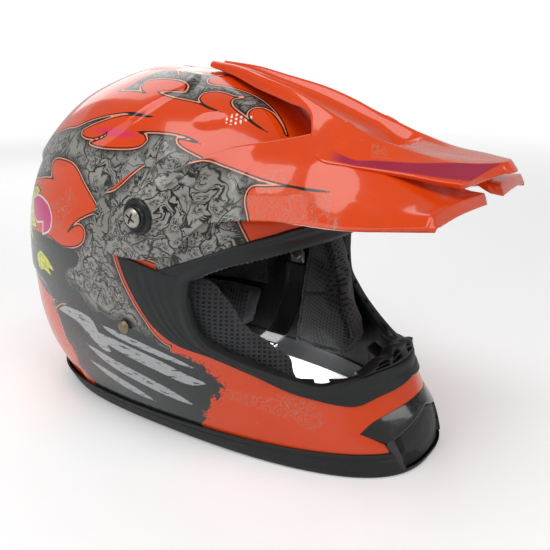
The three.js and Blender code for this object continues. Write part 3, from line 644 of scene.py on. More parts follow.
def voronoi(where, scale, feature="F1", dims="2D", random=1.0):
    inputs = {"Vector": where, "Scale": scale, "Randomness": random}
    node = where.graph.node("TexVoronoi", inputs, voronoi_dimensions=dims, feature=feature)
    return {out.name: Value(where.graph, out) for out in node.outputs if out.enabled}


def linear(value, start, end, low=0.0, high=1.0, **settings):
    """low where value is start, high where it is end, straight between."""
    inputs = {"Value": value, "From Min": start, "From Max": end, "To Min": low, "To Max": high}
    return value.graph.add("MapRange", inputs, **settings)


def step(value, start, end, low=0.0, high=1.0):
    """As linear, with a soft start and end."""
    return linear(value, start, end, low, high, interpolation_type="SMOOTHSTEP")


def spread(value, low, high):
    """The usual span of a noise stretched to low..high."""
    return linear(value, 0.3, 0.7, low, high)


def stripe(distance, shift, edge, core):
    """1 within core of distance = -shift, 0 beyond edge."""
    return step(abs(distance + shift), edge, core)


def mix_linear(factor, first, second):
    return factor.graph.add("Mix", {0: factor, 6: first, 7: second}, 2, data_type="RGBA")


def to_linear(colour):
    return tuple(c / 255 / 12.92 if c / 255 <= 0.04045 else ((c / 255 + 0.055) / 1.055) ** 2.4
                 for c in colour)


def mix(factor, *colours):
    """Mix of two colours; tuples are sRGB, 0 to 255."""
    return mix_linear(factor, *(to_linear(c) if isinstance(c, tuple) else c for c in colours))


def bump(height, strength, distance):
    inputs = {"Strength": strength, "Distance": distance, "Height": height}
    return height.graph.add("Bump", inputs)


# ------------------------------------------------------------------ materials
def scrolls(where, cell, seed, winding=5.0):
    """Spiral leaves with dark outlines and hatching round scattered centres, 0 dark to 1 light.
    cell is the spacing of the centres, winding how fast the spirals close."""
    warp = flat_noise(where, 0.05, output="Color")
    warp = vector("SCALE", vector("SUBTRACT", warp, (0.5, 0.5, 0.5)), scale=cell * 0.9)
    spot = vector("ADD", vector("ADD", where, warp), (seed * 37.7, seed * 11.3, 0))
    cells = voronoi(spot, 1.0 / cell, random=0.95)
    x, y, _ = split(vector("SUBTRACT", spot, cells["Position"]))
    hand_draw, phase_draw, _ = split(cells["Color"])
    radius = vector("LENGTH", join(x, y)) + 0.35
    hand = apply("SIGN", hand_draw - 0.5)
    angle = apply("ARCTAN2", y, x) * hand
    depth = apply("LOGARITHM", radius, math.e)
    phase = phase_draw * 6.283
    ripple = flat_noise(spot, 0.30, rough=0.6)
    scallop = sine(angle * 5.0 - depth * 5.5 + ripple * 4.0) * 0.75
    spiral = angle + depth * winding + phase + scallop + ripple * 1.2
    leaf = apply("FRACT", spiral * (1 / 6.2832))  # 0 to 1 across one leaf
    outlines = step(abs(leaf - 0.5), 0.475, 0.40)
    hatch = sine(spiral * 5.0 + angle * 2.0)
    lit = step(leaf, 0.30, 0.52)
    hatch = apply("MAXIMUM", step(hatch, -0.55, 0.05), lit)
    vein = sine(angle * 9.0 - depth * 4.0 + phase * 3.0)
    vein = apply("MAXIMUM", step(vein, -0.93, -0.55), step(leaf, 0.86, 0.74))
    border = voronoi(spot, 1.0 / cell, "DISTANCE_TO_EDGE", random=0.95)["Distance"] * cell
    rim = step(border, 0.12, 0.75)
    eye = step(radius, 0.75, 1.25)
    return outlines * hatch * (vein * 0.85 + 0.15) * rim * eye


def paint(name):
    """Glossy orange with grey scrollwork and charcoal patches, laid out by the distance
    attributes (mm, negative inside each patch)."""
    graph = Graph(name)
    where = graph.attribute("pmm", "Vector")
    orange_edge, char_edge, print_edge, slash_edge, lime_edge, magenta_edge = (
        graph.attribute(layer) for layer in ("d_or", "d_ch", "d_sc", "d_sl", "d_li", "d_ma"))
    wobble = flat_noise(where, scale=0.9, detail=3.0, rough=0.6) - 0.5
    rough_area = graph.attribute("rough")
    orange_edge = orange_edge + wobble * 0.25 + rough_area * 60.0
    orange = mix(flat_noise(where, scale=0.012), (216, 62, 6), (228, 74, 12))
    # grey scrollwork in two sizes, smoky near its edge
    large = scrolls(where, cell=24.0, seed=1.0, winding=5.2)
    small = scrolls(where, cell=11.5, seed=2.0, winding=4.4)
    pick = step(flat_noise(where, scale=0.05, detail=1.0), 0.46, 0.54)
    work = large * (1.0 - pick) + small * pick
    light = mix(flat_noise(where, scale=0.03), (122, 121, 116), (158, 156, 150))
    grey = mix(work, (24, 25, 25), light)
    clear = step(orange_edge + flat_noise(where, scale=0.12) * 5.0, 1.5, -6.0)
    grey = mix((1.0 - clear) * 0.8, grey, (38, 38, 37))
    # pale lines, blush, the hood's red sides and dots on the orange
    lines = scrolls(where, cell=13.0, seed=3.0)
    lines = step(abs(lines - 0.5), 0.42, 0.2) * step(print_edge + wobble * 4.0, 0.8, -1.2)
    orange = mix(lines * 0.75, orange, (176, 132, 112))
    blush = step(graph.attribute("blush"), 0.0, 1.0) * step(orange_edge, -1.0, 2.5)
    orange = mix(blush * 0.8, orange, (214, 38, 96))
    red = mix(flat_noise(where, scale=0.03), (150, 30, 58), (172, 40, 70))
    orange = mix(step(graph.attribute("side"), 0.35, 0.65), orange, red)
    orange = mix(step(graph.attribute("dots"), 0.1, -0.1), orange, (246, 226, 214))
    # the edge itself: black, pale and black lines
    colour = mix(step(orange_edge, 0.10, -0.10), orange, grey)
    black = stripe(orange_edge, 0.1, edge=0.62, core=0.42)
    pale = stripe(orange_edge, 1.0, edge=0.52, core=0.32)
    outer = stripe(orange_edge, 1.9, edge=0.55, core=0.35)
    clean = step(rough_area, 0.25, 0.05)
    colour = mix(black * clean, colour, (22, 20, 20))
    colour = mix(pale * clean, colour, (242, 150, 116))
    colour = mix(outer * clean * 0.8, colour, (24, 22, 22))
    # charcoal patch, splattered where its edge is rough
    splatter = flat_noise(where, scale=0.11, detail=5.0, rough=0.68, distort=0.4) - 0.5
    speck = voronoi(where, scale=0.30)["Distance"]
    torn_edge = char_edge + splatter * graph.attribute("rough") * 26.0
    specks = (step(speck, 0.2, 0.14) * step(char_edge, 7.0, 2.0)
              * step(graph.attribute("rough"), 0.2, 0.6))
    char_area = apply("MAXIMUM", step(torn_edge, 0.25, -0.25), specks)
    char = mix(flat_noise(where, scale=0.03), (33, 37, 38), (44, 48, 49))
    # dry brush slashes
    stretched = vector("MULTIPLY", where, (0.25, 1.4, 1.0))
    dry = step(flat_noise(stretched, scale=0.30, detail=3.0, rough=0.6), 0.60, 0.66)
    slash = step(slash_edge + wobble * 1.6, 0.2, -0.2) * (1.0 - dry * 0.9)
    char = mix(slash, char, (168, 172, 174))
    # lime and magenta licks with their outlines
    lime = step(lime_edge + wobble * 1.0, 0.2, -0.2)
    lime_line = stripe(lime_edge + wobble * 1.0, 0.1, edge=0.75, core=0.5)
    char = mix(lime, char, (222, 214, 42))
    char = mix(lime_line, char, (16, 16, 16))
    colour = mix(char_area, colour, char)
    lime_tone = step(flat_noise(where, scale=0.2), 0.5, 0.6)
    colour = mix(lime, colour, mix(lime_tone, (226, 220, 48), (176, 190, 30)))
    colour = mix(lime_line, colour, (16, 16, 16))
    colour = mix(step(magenta_edge + wobble, 0.2, -0.2), colour, (206, 34, 120))
    magenta_line = stripe(magenta_edge + wobble, 0.1, edge=0.8, core=0.5)
    colour = mix(magenta_line, colour, (230, 228, 224))
    wear = noise(graph.position(), scale=60.0, detail=5.0, rough=0.6)
    micro = noise(graph.position(), scale=900.0)
    peel = noise(graph.position(), scale=260.0)
    return graph.finish(
        Base_Color=colour, Roughness=spread(wear, low=0.16, high=0.28) + char_area * 0.05,
        Coat_Weight=0.6, Coat_Roughness=0.05, Specular_IOR_Level=0.28,
        Normal=bump(peel * 0.6 + micro * 0.1, strength=0.06, distance=0.0004),
        Coat_Normal=bump(peel, strength=0.025, distance=0.0004))


def rubber(name, dark, pale, rough=(0.46, 0.62), grain=1400.0, relief=0.25):
    """Matt moulded rubber or plastic with a fine grain and a little dust."""
    graph = Graph(name)
    where = graph.position()
    tone = noise(where, scale=18.0, detail=3.0, rough=0.6)
    fine = noise(where, scale=grain, rough=0.6)
    mottle = noise(where, scale=190.0, detail=4.0, rough=0.6)
    colour = mix(step(mottle, 0.60, 0.78) * 0.10, mix(tone, dark, pale), (96, 96, 94))
    return graph.finish(
        Base_Color=colour, Roughness=spread(mottle, *rough), Specular_IOR_Level=0.42,
        Normal=bump(fine + mottle * 0.6, relief, distance=0.00025))


def metal(name, dark, pale, rough, stain=None):
    graph = Graph(name)
    where = graph.position()
    mottle = noise(where, scale=120.0, detail=4.0, rough=0.6)
    fine = noise(vector("MULTIPLY", where, (1.0, 1.0, 1.0)), scale=1500.0, rough=0.6)
    colour = mix(mottle, dark, pale)
    if stain:
        spots = step(noise(where, scale=420.0, detail=4.0, rough=0.65), 0.52, 0.7)
        colour = mix(spots * 0.7, colour, stain)
    return graph.finish(
        Base_Color=colour, Metallic=1.0, Roughness=spread(mottle * 0.6 + fine * 0.4, *rough),
        Normal=bump(fine + mottle, strength=0.12, distance=0.0002))


def spacer_fabric(name):
    """Open mesh of staggered holes."""
    cell = 4.6
    graph = Graph(name)
    where = graph.position()
    first, second, _ = split(graph.attribute("pmm", "Vector"))
    lattice = (apply("COSINE", first * (math.pi / cell))
               * apply("COSINE", second * (math.pi / (cell * 0.62))))
    hole = step(abs(lattice), 0.40, 0.54)
    yarn = sine((first + second) * 9.0) * 0.5 + sine((first - second) * 9.0) * 0.5
    fuzz = noise(where, scale=900.0, detail=3.0, rough=0.7)
    # raised yarn is painted paler than the grooves between yarns: painted shade in the grooves
    colour = mix(linear(yarn, -1.0, 1.0), (34, 37, 41), (60, 64, 70))
    colour = mix(fuzz * 0.35, colour, (92, 96, 102))
    # the holes are painted near black: painted shade inside the open mesh
    colour = mix(hole, colour, (4, 5, 6))
    height = (1.0 - hole) * 1.0 + yarn * 0.10 + fuzz * 0.10
    return graph.finish(
        Base_Color=colour, Roughness=0.72 + fuzz * 0.2, Sheen_Weight=0.35, Sheen_Roughness=0.5,
        Specular_IOR_Level=0.25, Normal=bump(height, strength=0.9, distance=0.0011))


def yarn_fabric(name, dark, pale, cell, woven=False):
    """Knit in object space, or tape woven along its pattern coordinates; cell in mm."""
    graph = Graph(name)
    where = graph.position()
    if woven:
        first, second, _ = split(graph.attribute("pmm", "Vector"))
        shift = apply("SIGN", sine(second * (math.pi / cell))) * (math.pi / 2)
        warp = sine(first * (2 * math.pi / cell) + shift)
        weft = sine(second * (math.pi / cell))
    else:
        x, y, z = split(vector("SCALE", where, scale=1000.0 / cell))
        warp = sine((x + y) * 3.1)
        weft = sine(z * 6.2 + warp * 1.2)
    height = abs(warp) * abs(weft)
    fuzz = noise(where, scale=1100.0, detail=4.0, rough=0.7)
    tone = noise(where, scale=25.0, detail=3.0, rough=0.6)
    # base colour follows the yarn height: the grooves are painted darker as painted shade, with tone
    # varying at random
    return graph.finish(
        Base_Color=mix(linear(height * 0.7 + tone * 0.5, 0.1, 0.9), dark, pale),
        Roughness=0.78 + fuzz * 0.18, Sheen_Weight=0.4, Sheen_Roughness=0.5,
        Specular_IOR_Level=0.2, Normal=bump(height + fuzz * 0.35, strength=0.6, distance=0.0005))


def foam(name):
    """Moulded bead foam."""
    graph = Graph(name)
    where = graph.position()
    beads = voronoi(where, scale=330.0, dims="3D", random=0.9)
    seam = voronoi(where, 330.0, "DISTANCE_TO_EDGE", dims="3D", random=0.9)["Distance"]
    bead = mix(split(beads["Color"])[0], (24, 25, 27), (38, 39, 42))
    return graph.finish(
        Base_Color=mix(step(seam, 0.0, 0.12), (12, 12, 13), bead), Specular_IOR_Level=0.3,
        Roughness=spread(noise(where, scale=200.0), low=0.62, high=0.82),
        Normal=bump(step(seam, 0.0, 0.25), strength=0.6, distance=0.0006))


def gloss_black(name):
    """Black gloss with faint scroll lines."""
    graph = Graph(name)
    where = graph.position()
    x, _, z = split(vector("SCALE", where, scale=1000.0))
    work = scrolls(join(x, z), cell=9.0, seed=5.0)
    lines = step(abs(work - 0.5), 0.4, 0.2) * step(noise(where, scale=40.0), 0.5, 0.62)
    colour = mix(noise(where, scale=30.0, detail=3.0), (10, 11, 12), (18, 19, 20))
    wear = noise(where, scale=160.0, detail=4.0, rough=0.6)
    return graph.finish(
        Base_Color=mix(lines * 0.5, colour, (96, 98, 98)),
        Roughness=spread(wear, low=0.10, high=0.24), Coat_Weight=0.5, Coat_Roughness=0.05,
        Normal=bump(noise(where, scale=300.0), strength=0.04, distance=0.0004))


PAINT = paint("paint_shell")
PEAK_PAINT = paint("paint_peak")
RAW_WALL = rubber("raw_inner_wall", (14, 14, 15), (24, 24, 25), (0.6, 0.8), 700.0, 0.3)
EDGE_RUBBER = rubber("edge_rubber", (22, 26, 27), (32, 36, 37))
RIM_RUBBER = rubber("rim_rubber", (19, 21, 22), (28, 30, 31), (0.42, 0.6))
GUARD_PLASTIC = rubber("guard_plastic", (20, 23, 24), (30, 33, 34), (0.42, 0.58), 1100.0, 0.2)
GLOSS_BLACK = gloss_black("vent_gloss")
PANEL_PLASTIC = rubber(
    "vent_panel_plastic", (22, 25, 26), (31, 34, 35), (0.42, 0.58), 1200.0, 0.2)
SPACER = spacer_fabric("spacer_mesh")
KNIT = yarn_fabric("liner_knit", (24, 26, 29), (46, 49, 54), cell=1.6)
TAPE = yarn_fabric("strap_tape", (14, 14, 16), (36, 36, 40), cell=1.5, woven=True)
BEAD_FOAM = foam("bead_foam")
NICKEL = metal("nickel", (150, 146, 138), (196, 192, 182), (0.24, 0.42), stain=(92, 84, 72))
BRONZE = metal("bronze_rivet", (120, 106, 88), (160, 146, 124), (0.3, 0.46), stain=(70, 60, 48))
ZINC = metal("zinc", (150, 152, 154), (186, 188, 190), (0.3, 0.46))
CHROME = metal("ring_steel", (196, 197, 200), (226, 227, 230), (0.1, 0.22))
WASHER_PLASTIC = rubber("washer_plastic", (16, 17, 19), (26, 27, 29), (0.22, 0.38), 900.0, 0.12)
SEAL_RUBBER = rubber("seal_strip", (44, 48, 51), (74, 78, 82), (0.4, 0.55), 900.0, 0.2)
THREAD = yarn_fabric("thread", (70, 70, 74), (104, 104, 108), cell=0.6)


# ------------------------------------------------------------------ shell
def shell_grid(rows, front_steps, back_steps, z_low=3.8):
    """Level per row, and turn per row and column from front centre to back centre on one side,
    evenly spaced along the surface."""
    levels = np.linspace(level_of(z_low), 89.95, 900)
    run = sum(arc_lengths(surface(levels, turn)) for turn in (0.0, math.pi / 2, math.pi))
    level = np.interp(np.linspace(0, run[-1], rows), run, levels)
    # closer samples near the ends, where the outline turns fast
    front = (0.5 - 0.5 * np.cos(math.pi * np.linspace(0, 1, 700))) * math.pi / 2
    turns = []
    for row in level:
        halves = []
        for fine, steps in ((front, front_steps), (math.pi / 2 + front, back_steps)):
            run = arc_lengths(surface(row, fine))
            halves.append(np.interp(np.linspace(0, run[-1], steps + 1), run, fine))
        turns.append(np.concatenate([halves[0], halves[1][1:]]))
    return level, np.array(turns)


def full_ring(turn):
    """One side's turn columns continued to a whole ring."""
    return np.concatenate([turn, -turn[:, -2:0:-1]], 1)


# painted attributes, in the order they are added, with the value for "nowhere near"
LAYERS = {"d_or": FAR, "d_ch": FAR, "d_sc": FAR, "d_sl": FAR, "d_li": FAR, "d_ma": FAR,
          "rough": 0.0, "blush": -1.0, "dots": FAR, "side": 0.0}


def paint_layers(fore, rise, **drawn):
    layers = {name: np.full(fore.shape, drawn.get(name, away)) for name, away in LAYERS.items()}
    return layers | pattern(fore, rise)


def trim_stripe(points):
    """Positive in the orange stripe beside the lower and rear edge of the eyeport trim."""
    forward, z = -points[:, 1], points[:, 2]
    low = (z < 153) & ((forward < 30) | (z < 100))
    width = np.clip(4.0 + 0.03 * (forward - 40), 3.4, 7.0)
    return np.where(low, width - signed_distance(forward, z, TRIM_OUT), -FAR)


def dot_field(fore, rise):
    """Distance to the edges of staggered dots within an oval on the upper side."""
    pitch, radius = 3.0, 0.95
    along = (fore - 80) * 0.94 + (rise - 120.5) * 0.34
    up = -(fore - 80) * 0.34 + (rise - 120.5) * 0.94
    stagger = pitch / 2 * (np.floor((along + 60) / pitch) % 2)
    dot_x = (along + 60) % pitch - pitch / 2
    dot_y = (up + 60 + stagger) % pitch - pitch / 2
    oval = np.hypot(along / 9.5, up / 6.5) < 1
    return np.where(oval, np.hypot(dot_x, dot_y) - radius, 5.0)


def shell_layers(points):
    fore, rise = paint_coords(points)
    grey = loops_distance(fore, rise, [GREY_SIDE, GREY_CROWN, GREY_CHIN])
    char = loops_distance(fore, rise, [CHARCOAL, CHARCOAL_REAR])
    bridges = [line_distance(fore, rise, line) - 4.0 for line in BRIDGES]
    orange = np.maximum(-loops_distance(fore, rise, [HEART]), trim_stripe(points))
    front_rough = unit((fore - 50) / 14) * unit((-rise - 44) / 10)
    rear_rough = 0.35 * unit((-rise - 62) / 8) * unit((-40 - fore) / 10)
    return paint_layers(
        fore, rise,
        d_or=np.maximum(np.minimum.reduce([grey, char, *bridges]), orange),
        d_ch=np.maximum(char, orange),
        d_sc=np.minimum(loops_distance(fore, rise, [SCROLL_CHIN]),
                        signed_distance(fore, rise, SCROLL_SIDE)),
        d_sl=loops_distance(fore, rise, SLASHES, 80), d_li=loops_distance(fore, rise, LIME, 80),
        d_ma=loops_distance(fore, rise, [MAGENTA], 80), rough=front_rough + rear_rough,
        blush=unit(1 - np.hypot(fore / 26, (rise - 99.5) / 4.2)) * 1.6,
        dots=dot_field(fore, rise))


def shell_relief(points):
    """How far the outer shell stands off its base surface."""
    fore, rise = paint_coords(points)
    x, y, z = np.moveaxis(points, -1, 0)
    # shallow oval dimple on each upper side
    along, up = fore - 64.2, rise - 116.2
    oval = np.hypot((along * 0.97 + up * 0.25) / 11.0, (up * 0.97 - along * 0.25) / 7.0)
    relief = -1.3 * ease(unit(1.25 - oval))
    # raised panels at the back of the crown, clear of its centre strip
    panel = unit((2.0 - signed_distance(fore, rise, smooth_loop(CROWN_PANEL))) / 7.0)
    beside = unit(np.maximum((np.abs(x) - 22) / 10, (-36 + y) / 16))
    relief += 2.6 * ease(panel) * beside - 0.5 * (1 - beside) * (z > 220)
    low = unit((1.5 - signed_distance(fore, rise, smooth_loop(LOW_PANEL))) / 5.0)
    return relief - 1.6 * ease(low)


def build_shell():
    level, turn = shell_grid(208, 146, 138)
    turn = full_ring(turn)
    level = np.repeat(level[:, None], turn.shape[1], 1)
    base = surface(level, turn)
    points = base + surface_normals(level, turn) * shell_relief(base)[..., None]
    faces = grid_faces(*turn.shape, wrap=True)
    x, y, z = base.reshape(-1, 3)[faces].mean(1).T
    keep = ~(inside(-y, z, SHELL_CUT) & (-y > 40))
    keep &= ~((np.abs(x) < 22) & (z > 18) & (z < 33) & (-y > 100))  # slot low in the chin
    points, faces = compact(points.reshape(-1, 3), faces[keep])
    add_mesh("shell_painted", points, faces, PAINT, "outer_shell", layers=shell_layers(points))


def build_inner_wall():
    level, turn = shell_grid(70, 44, 42)
    turn = full_ring(turn)
    level = np.repeat(level[:, None], turn.shape[1], 1)
    points = offset(level, turn, -4.0).reshape(-1, 3)
    faces = grid_faces(*turn.shape, wrap=True, flip=True)
    _, y, z = points[faces].mean(1).T
    keep = ~(inside(-y, z, OPENING) & (-y > 40))
    add_mesh("shell_inner_wall", *compact(points, faces[keep]), RAW_WALL, "outer_shell",
             replace=False)


# ------------------------------------------------------------------ eyeport trim
# (forward, z) at the opening and at the outer edge, from top centre round to bottom centre
EYE_KEYS = [
    ((107.2, 155.1), (107.4, 172)), ((101, 155), (98.5, 169.2)), ((91, 153), (91, 166.7)),
    ((78, 150), (81, 163.5)), ((66, 146), (64, 156.6)), ((57, 141), (45, 149)),
    ((54, 139.2), (31, 143.5)), ((52, 137.8), (14, 148)), ((51, 136), (0, 150.6)),
    ((50, 125), (6, 132.7)), ((50.6, 115), (14, 115)), ((52, 106), (22, 101)),
    ((57, 93), (35, 89.9)), ((70, 83), (58, 82.3)), ((87, 74), (80, 70.3)),
    ((110, 65), (104, 57.4)), ((122, 62), (118, 52.9)), ((131, 64), (133, 49)),
    ((141, 67), (144, 48)), ((150, 70), (154, 53)), ((157.4, 70.5), (163.8, 59)),
]
TRIM_CORNERS = (6, 8)  # keys where the outer edge turns sharply
OUTER_STEPS = (0, 0.2, 0.5, 0.9, 1.4, 2.0, 2.8, 3.8)  # columns, mm in from the outer edge
PORT_STEPS = (4.6, 3.6, 2.7, 1.9, 1.2, 0.6, 0.2, 0)  # columns, mm from the opening
# wall down into the opening: mm past its edge, mm out from the shell
TRIM_WALL = ((0.35, 1.2), (0.6, 0.3), (0.7, -1.4), (0.7, -3.4), (0.45, -5.4), (0.0, -6.6),
             (-0.9, -7.0), (-3.0, -7.0), (-5.5, -6.9))
SEAL_SECTION = ((0.4, -0.6), (0.9, -0.9), (1.3, -1.6), (1.45, -2.6), (1.3, -3.6), (0.9, -4.3),
                (0.4, -4.6))  # same measures


def trim_height(from_outer, from_port, width):
    height = 2.45 * rounded(from_outer / 1.7) - 0.35
    height += 0.75 * swell(from_port - 2.6, 2.4)  # raised frame round the opening
    height -= 0.55 * swell(from_port - 8.0, 1.8) * unit((width - 12) / 3)
    height -= 0.30 * swell(from_outer - 3.2, 0.9)
    # grooves, each with a ridge beside it, where the trim widens
    wing = unit((width - 19) / 12)
    share = from_outer / np.maximum(width, 1)
    for centre, depth in ((0.30, 0.75), (0.47, 0.7), (0.62, 0.6)):
        height -= wing * depth * swell(share - centre, 0.035) * 0.9
        height += wing * depth * 0.5 * swell(share - centre - 0.07, 0.04)
    return height - 0.9 * swell(from_port, 0.8)


def across_trim(outer, port, share, out):
    """Points at a share of the way from the outer edge to the opening, both (turn, z)."""
    share = share[..., None]
    line = outer * (1 - share) + port * share
    return offset(level_of(line[..., 1]), line[..., 0], out)


def build_seal_strip(outer, port, width):
    """Ribbed strip under the brow edge of the opening."""
    rows = both_sides(np.array(
        [across_trim(outer, port, 1 + beyond / width, out) for beyond, out in SEAL_SECTION]))
    knots = arc_lengths(rows[3])
    run = np.linspace(0, knots[-1], int(knots[-1] / 0.55))
    rows = np.stack([np.stack([np.interp(run, knots, row[:, c]) for c in range(3)], -1)
                     for row in rows])
    zigzag = np.array([np.abs(((run / 3.4 + 0.18 * abs(i - 3)) % 1) - 0.5) * 2
                       for i in range(len(rows))])
    rows = rows - grid_normals(rows) * ((zigzag[..., None] - 0.5) * 0.9)
    add_mesh("brow_seal_strip", rows.reshape(-1, 3), grid_faces(*rows.shape[:2]), SEAL_RUBBER,
             "eyeport_trim", replace=False)


def build_eye_trim():
    keys = np.array(EYE_KEYS, float)
    turn, reach = front_turn(keys[..., 0], keys[..., 1])
    edges = np.stack([np.where(reach > 0.9995, 0, turn), keys[..., 1]], -1)
    edges[[0, -1], :, 0] = 0
    points = surface(level_of(edges[..., 1]), edges[..., 0])
    gaps = np.linalg.norm(np.diff(points, axis=0), axis=-1).max(1)
    knots = np.concatenate([[0], np.cumsum(gaps)])
    run = np.unique(np.concatenate([np.linspace(0, knots[-1], int(knots[-1] / 1.35)), knots]))
    port = spline(edges[:, 0], knots, run)
    outer = np.empty_like(port)
    cuts = [0, *TRIM_CORNERS, len(knots) - 1]
    for start, end in zip(cuts[:-1], cuts[1:]):
        part = (run >= knots[start] - 1e-9) & (run <= knots[end] + 1e-9)
        span = slice(start, end + 1)
        outer[part] = spline(edges[span, 1], knots[span], run[part])
    for edge in (port, outer):
        edge[:, 0] = np.maximum(edge[:, 0], 0)
    width = np.linalg.norm(surface(level_of(port[:, 1]), port[:, 0])
                           - surface(level_of(outer[:, 1]), outer[:, 0]), axis=1)
    margin, inset = OUTER_STEPS[-1], PORT_STEPS[0]
    columns = [np.minimum(distance / width, 0.45) for distance in OUTER_STEPS]
    columns += [(margin + (width - margin - inset) * part) / width
                for part in np.linspace(0, 1, 16)[1:-1]]
    columns += [1 - np.minimum(distance / width, 0.45) for distance in PORT_STEPS]
    heights = [trim_height(share * width, (1 - share) * width, width) for share in columns]
    top = heights[-1]
    for beyond, out in TRIM_WALL:
        columns.append(1 + beyond / width)
        heights.append(np.full(len(width), out) if out < 1 else np.minimum(top, out))
    share = np.array(columns).T
    half = across_trim(outer[:, None], port[:, None], share, np.array(heights).T)
    half[[0, -1], :, 0] = 0
    full = np.transpose(np.concatenate([half, half[::-1][1:-1] * MIRROR], 0), (1, 0, 2))
    around = np.concatenate([run, knots[-1] * 2 - run[::-1][1:-1]])
    across = share * width[:, None]
    across = np.concatenate([across, across[::-1][1:-1]], 0).T
    faces = grid_faces(*full.shape[:2], wrap=True, flip=True)
    add_mesh("eyeport_rubber", full.reshape(-1, 3), faces, EDGE_RUBBER, "eyeport_trim",
             layers=pattern(around[None], across))
    brow = run < knots[TRIM_CORNERS[0]]
    build_seal_strip(outer[brow], port[brow], width[brow])


# ------------------------------------------------------------------ bottom rim
# mm out from the shell and z, round the section
RIM_SECTION = [
    (0.35, 16.1), (1.2, 16.25), (1.9, 16.1), (2.3, 15.6), (2.45, 14.8), (2.3, 13.6),
    (1.75, 12.9), (1.75, 12.3), (2.3, 11.7), (2.5, 10.6), (2.5, 7), (2.45, 4), (2.3, 2.4),
    (1.8, 1.1), (0.9, 0.25), (-0.4, 0), (-2.4, 0), (-4.6, 0), (-5.9, 0.3), (-6.7, 1.2),
    (-7, 2.6), (-7, 6), (-7, 11), (-6.9, 14.6), (-6.4, 15.8), (-5.5, 16.1), (-4.4, 15.9),
]


def build_rim():
    ring = full_ring(shell_grid(3, 150, 140, 0.2)[1][:1])[0]
    rows = []
    for out, z in RIM_SECTION:
        level = level_of(max(z, 0.02))
        normal = surface_normals(level, ring)
        normal[:, 2] = 0
        row = surface(level, ring) + unit_vectors(normal, 0) * out
        row[:, 2] = z
        rows.append(row)
    points = np.array(rows).reshape(-1, 3)
    faces = grid_faces(len(rows), len(ring), wrap=True, flip=True)
    x, y, z = points[faces].mean(1).T
    vent = (-y > 120) & (z > 3.2) & inside(x, z, VENT_GROWN) & (np.abs(x) < 30)
    add_mesh("rim_rubber", *compact(points, faces[~vent]), RIM_RUBBER, "bottom_edge_trim")


# ------------------------------------------------------------------ peak
# hood: forward, then (x, z) from the centre channel over the ridge to the side
HOOD = [
    (-8, [(0, 270.6), (4, 270.8), (7, 272.6), (9.4, 271.2), (10.4, 269.6), (11, 268.6)]),
    (20, [(0, 264.6), (8, 265), (12, 269), (15, 266.6), (16.4, 264), (17, 262)]),
    (43, [(0, 257.2), (12, 257.6), (17, 263.4), (20, 260), (21.4, 257), (22, 254.4)]),
    (73, [(0, 247.6), (15, 248), (22, 255.6), (25, 252), (26.6, 249), (27.4, 246.4)]),
    (94, [(0, 239.4), (17, 239.8), (25, 247.8), (29, 244), (31.4, 241.4), (32.4, 239.4)]),
    (108, [(0, 233.4), (18, 233.8), (26.6, 241.6), (32, 236.6), (42, 228), (50, 222)]),
    (120, [(0, 228.4), (18.6, 228.8), (27.4, 236.4), (38, 229.4), (50, 222.4), (60, 215.8)]),
    (138, [(0, 219.6), (19.4, 220), (28, 229), (40, 222.8), (51, 216.4), (56, 213.4)]),
    (150, [(0, 221.6), (19, 222), (27.4, 225), (38, 220.8), (47, 216.4), (53.6, 212.4)]),
    (172, [(0, 217.8), (14, 218.4), (23.6, 219), (32, 217.6), (39, 216), (50, 210.6)]),
    (190, [(0, 216.6), (10, 216.8), (18, 216.8), (23, 216.6), (27, 216.2), (47.4, 208.6)]),
    (202, [(0, 216.2), (6, 216.2), (11, 216.2), (15, 216), (19, 215.8), (45, 207.8)]),
]
# front edge of the hood: x, z, forward
HOOD_NOSE = [(0, 216.2, 214), (3, 216.2, 213.8), (6, 216.2, 213.2), (8, 216.1, 212.6),
             (10, 215.9, 212), (44, 207.6, 203.4)]
# wing: forward, then (x, z) from top to bottom; the last line gives its own forward as well
WING = [
    (58, [(69.2, 218.9), (77.6, 212.2), (86, 202), (93.6, 190), (98.6, 177)]),
    (80, [(52.5, 223.7), (64.5, 215.8), (76, 205.6), (85.6, 193.4), (92.4, 179.4)]),
    (104, [(40.3, 229.3), (54, 220.4), (68, 209), (79, 196), (87.4, 181.6)]),
    (120, [(28, 236), (46, 225), (60, 215.4), (74, 200), (85.6, 181.6)]),
    (145, [(38, 218.6), (49, 214.6), (59, 208), (71, 197), (84.2, 182.4)]),
    (160, [(36, 213.6), (49, 210.6), (60, 205), (72.6, 195.4), (84, 184)]),
    (180, [(26, 205.4), (44, 204.2), (59, 201.4), (75, 194.8), (83.9, 187.4)]),
    (200, [(15, 198.4, 206), (34, 198.8, 204.6), (54, 198.6, 203), (79.5, 196.4, 200.6),
           (84.2, 190.6, 200)]),
]
# arm of the wing over the shell: forward and z of its upper and lower edge
ARM_TOP = outline("-17 176, -15 183, -8 190, 14 208.6, 36 207.4, 48 213.4, 63 221, 80 226")
ARM_BOTTOM = outline("""-17 174.8, -15.6 166, -10 157, -1 151.4, 22 150.4, 44 155.6, 61 176.6,
    80 178.2""")
ROUND_STEPS, FLAT_STEPS = 5, 6  # columns per rounded corner and per flat between corners
PIVOT = (24.5, 179.5)  # forward and z of the peak screws
# pale scrolls on the hood: forward and x
HOOD_SCROLLS = [outline("150 6, 164 24, 190 20, 206 8, 200 -4, 160 -4"),
                outline("140 34, 147 46, 158 42, 150 33")]


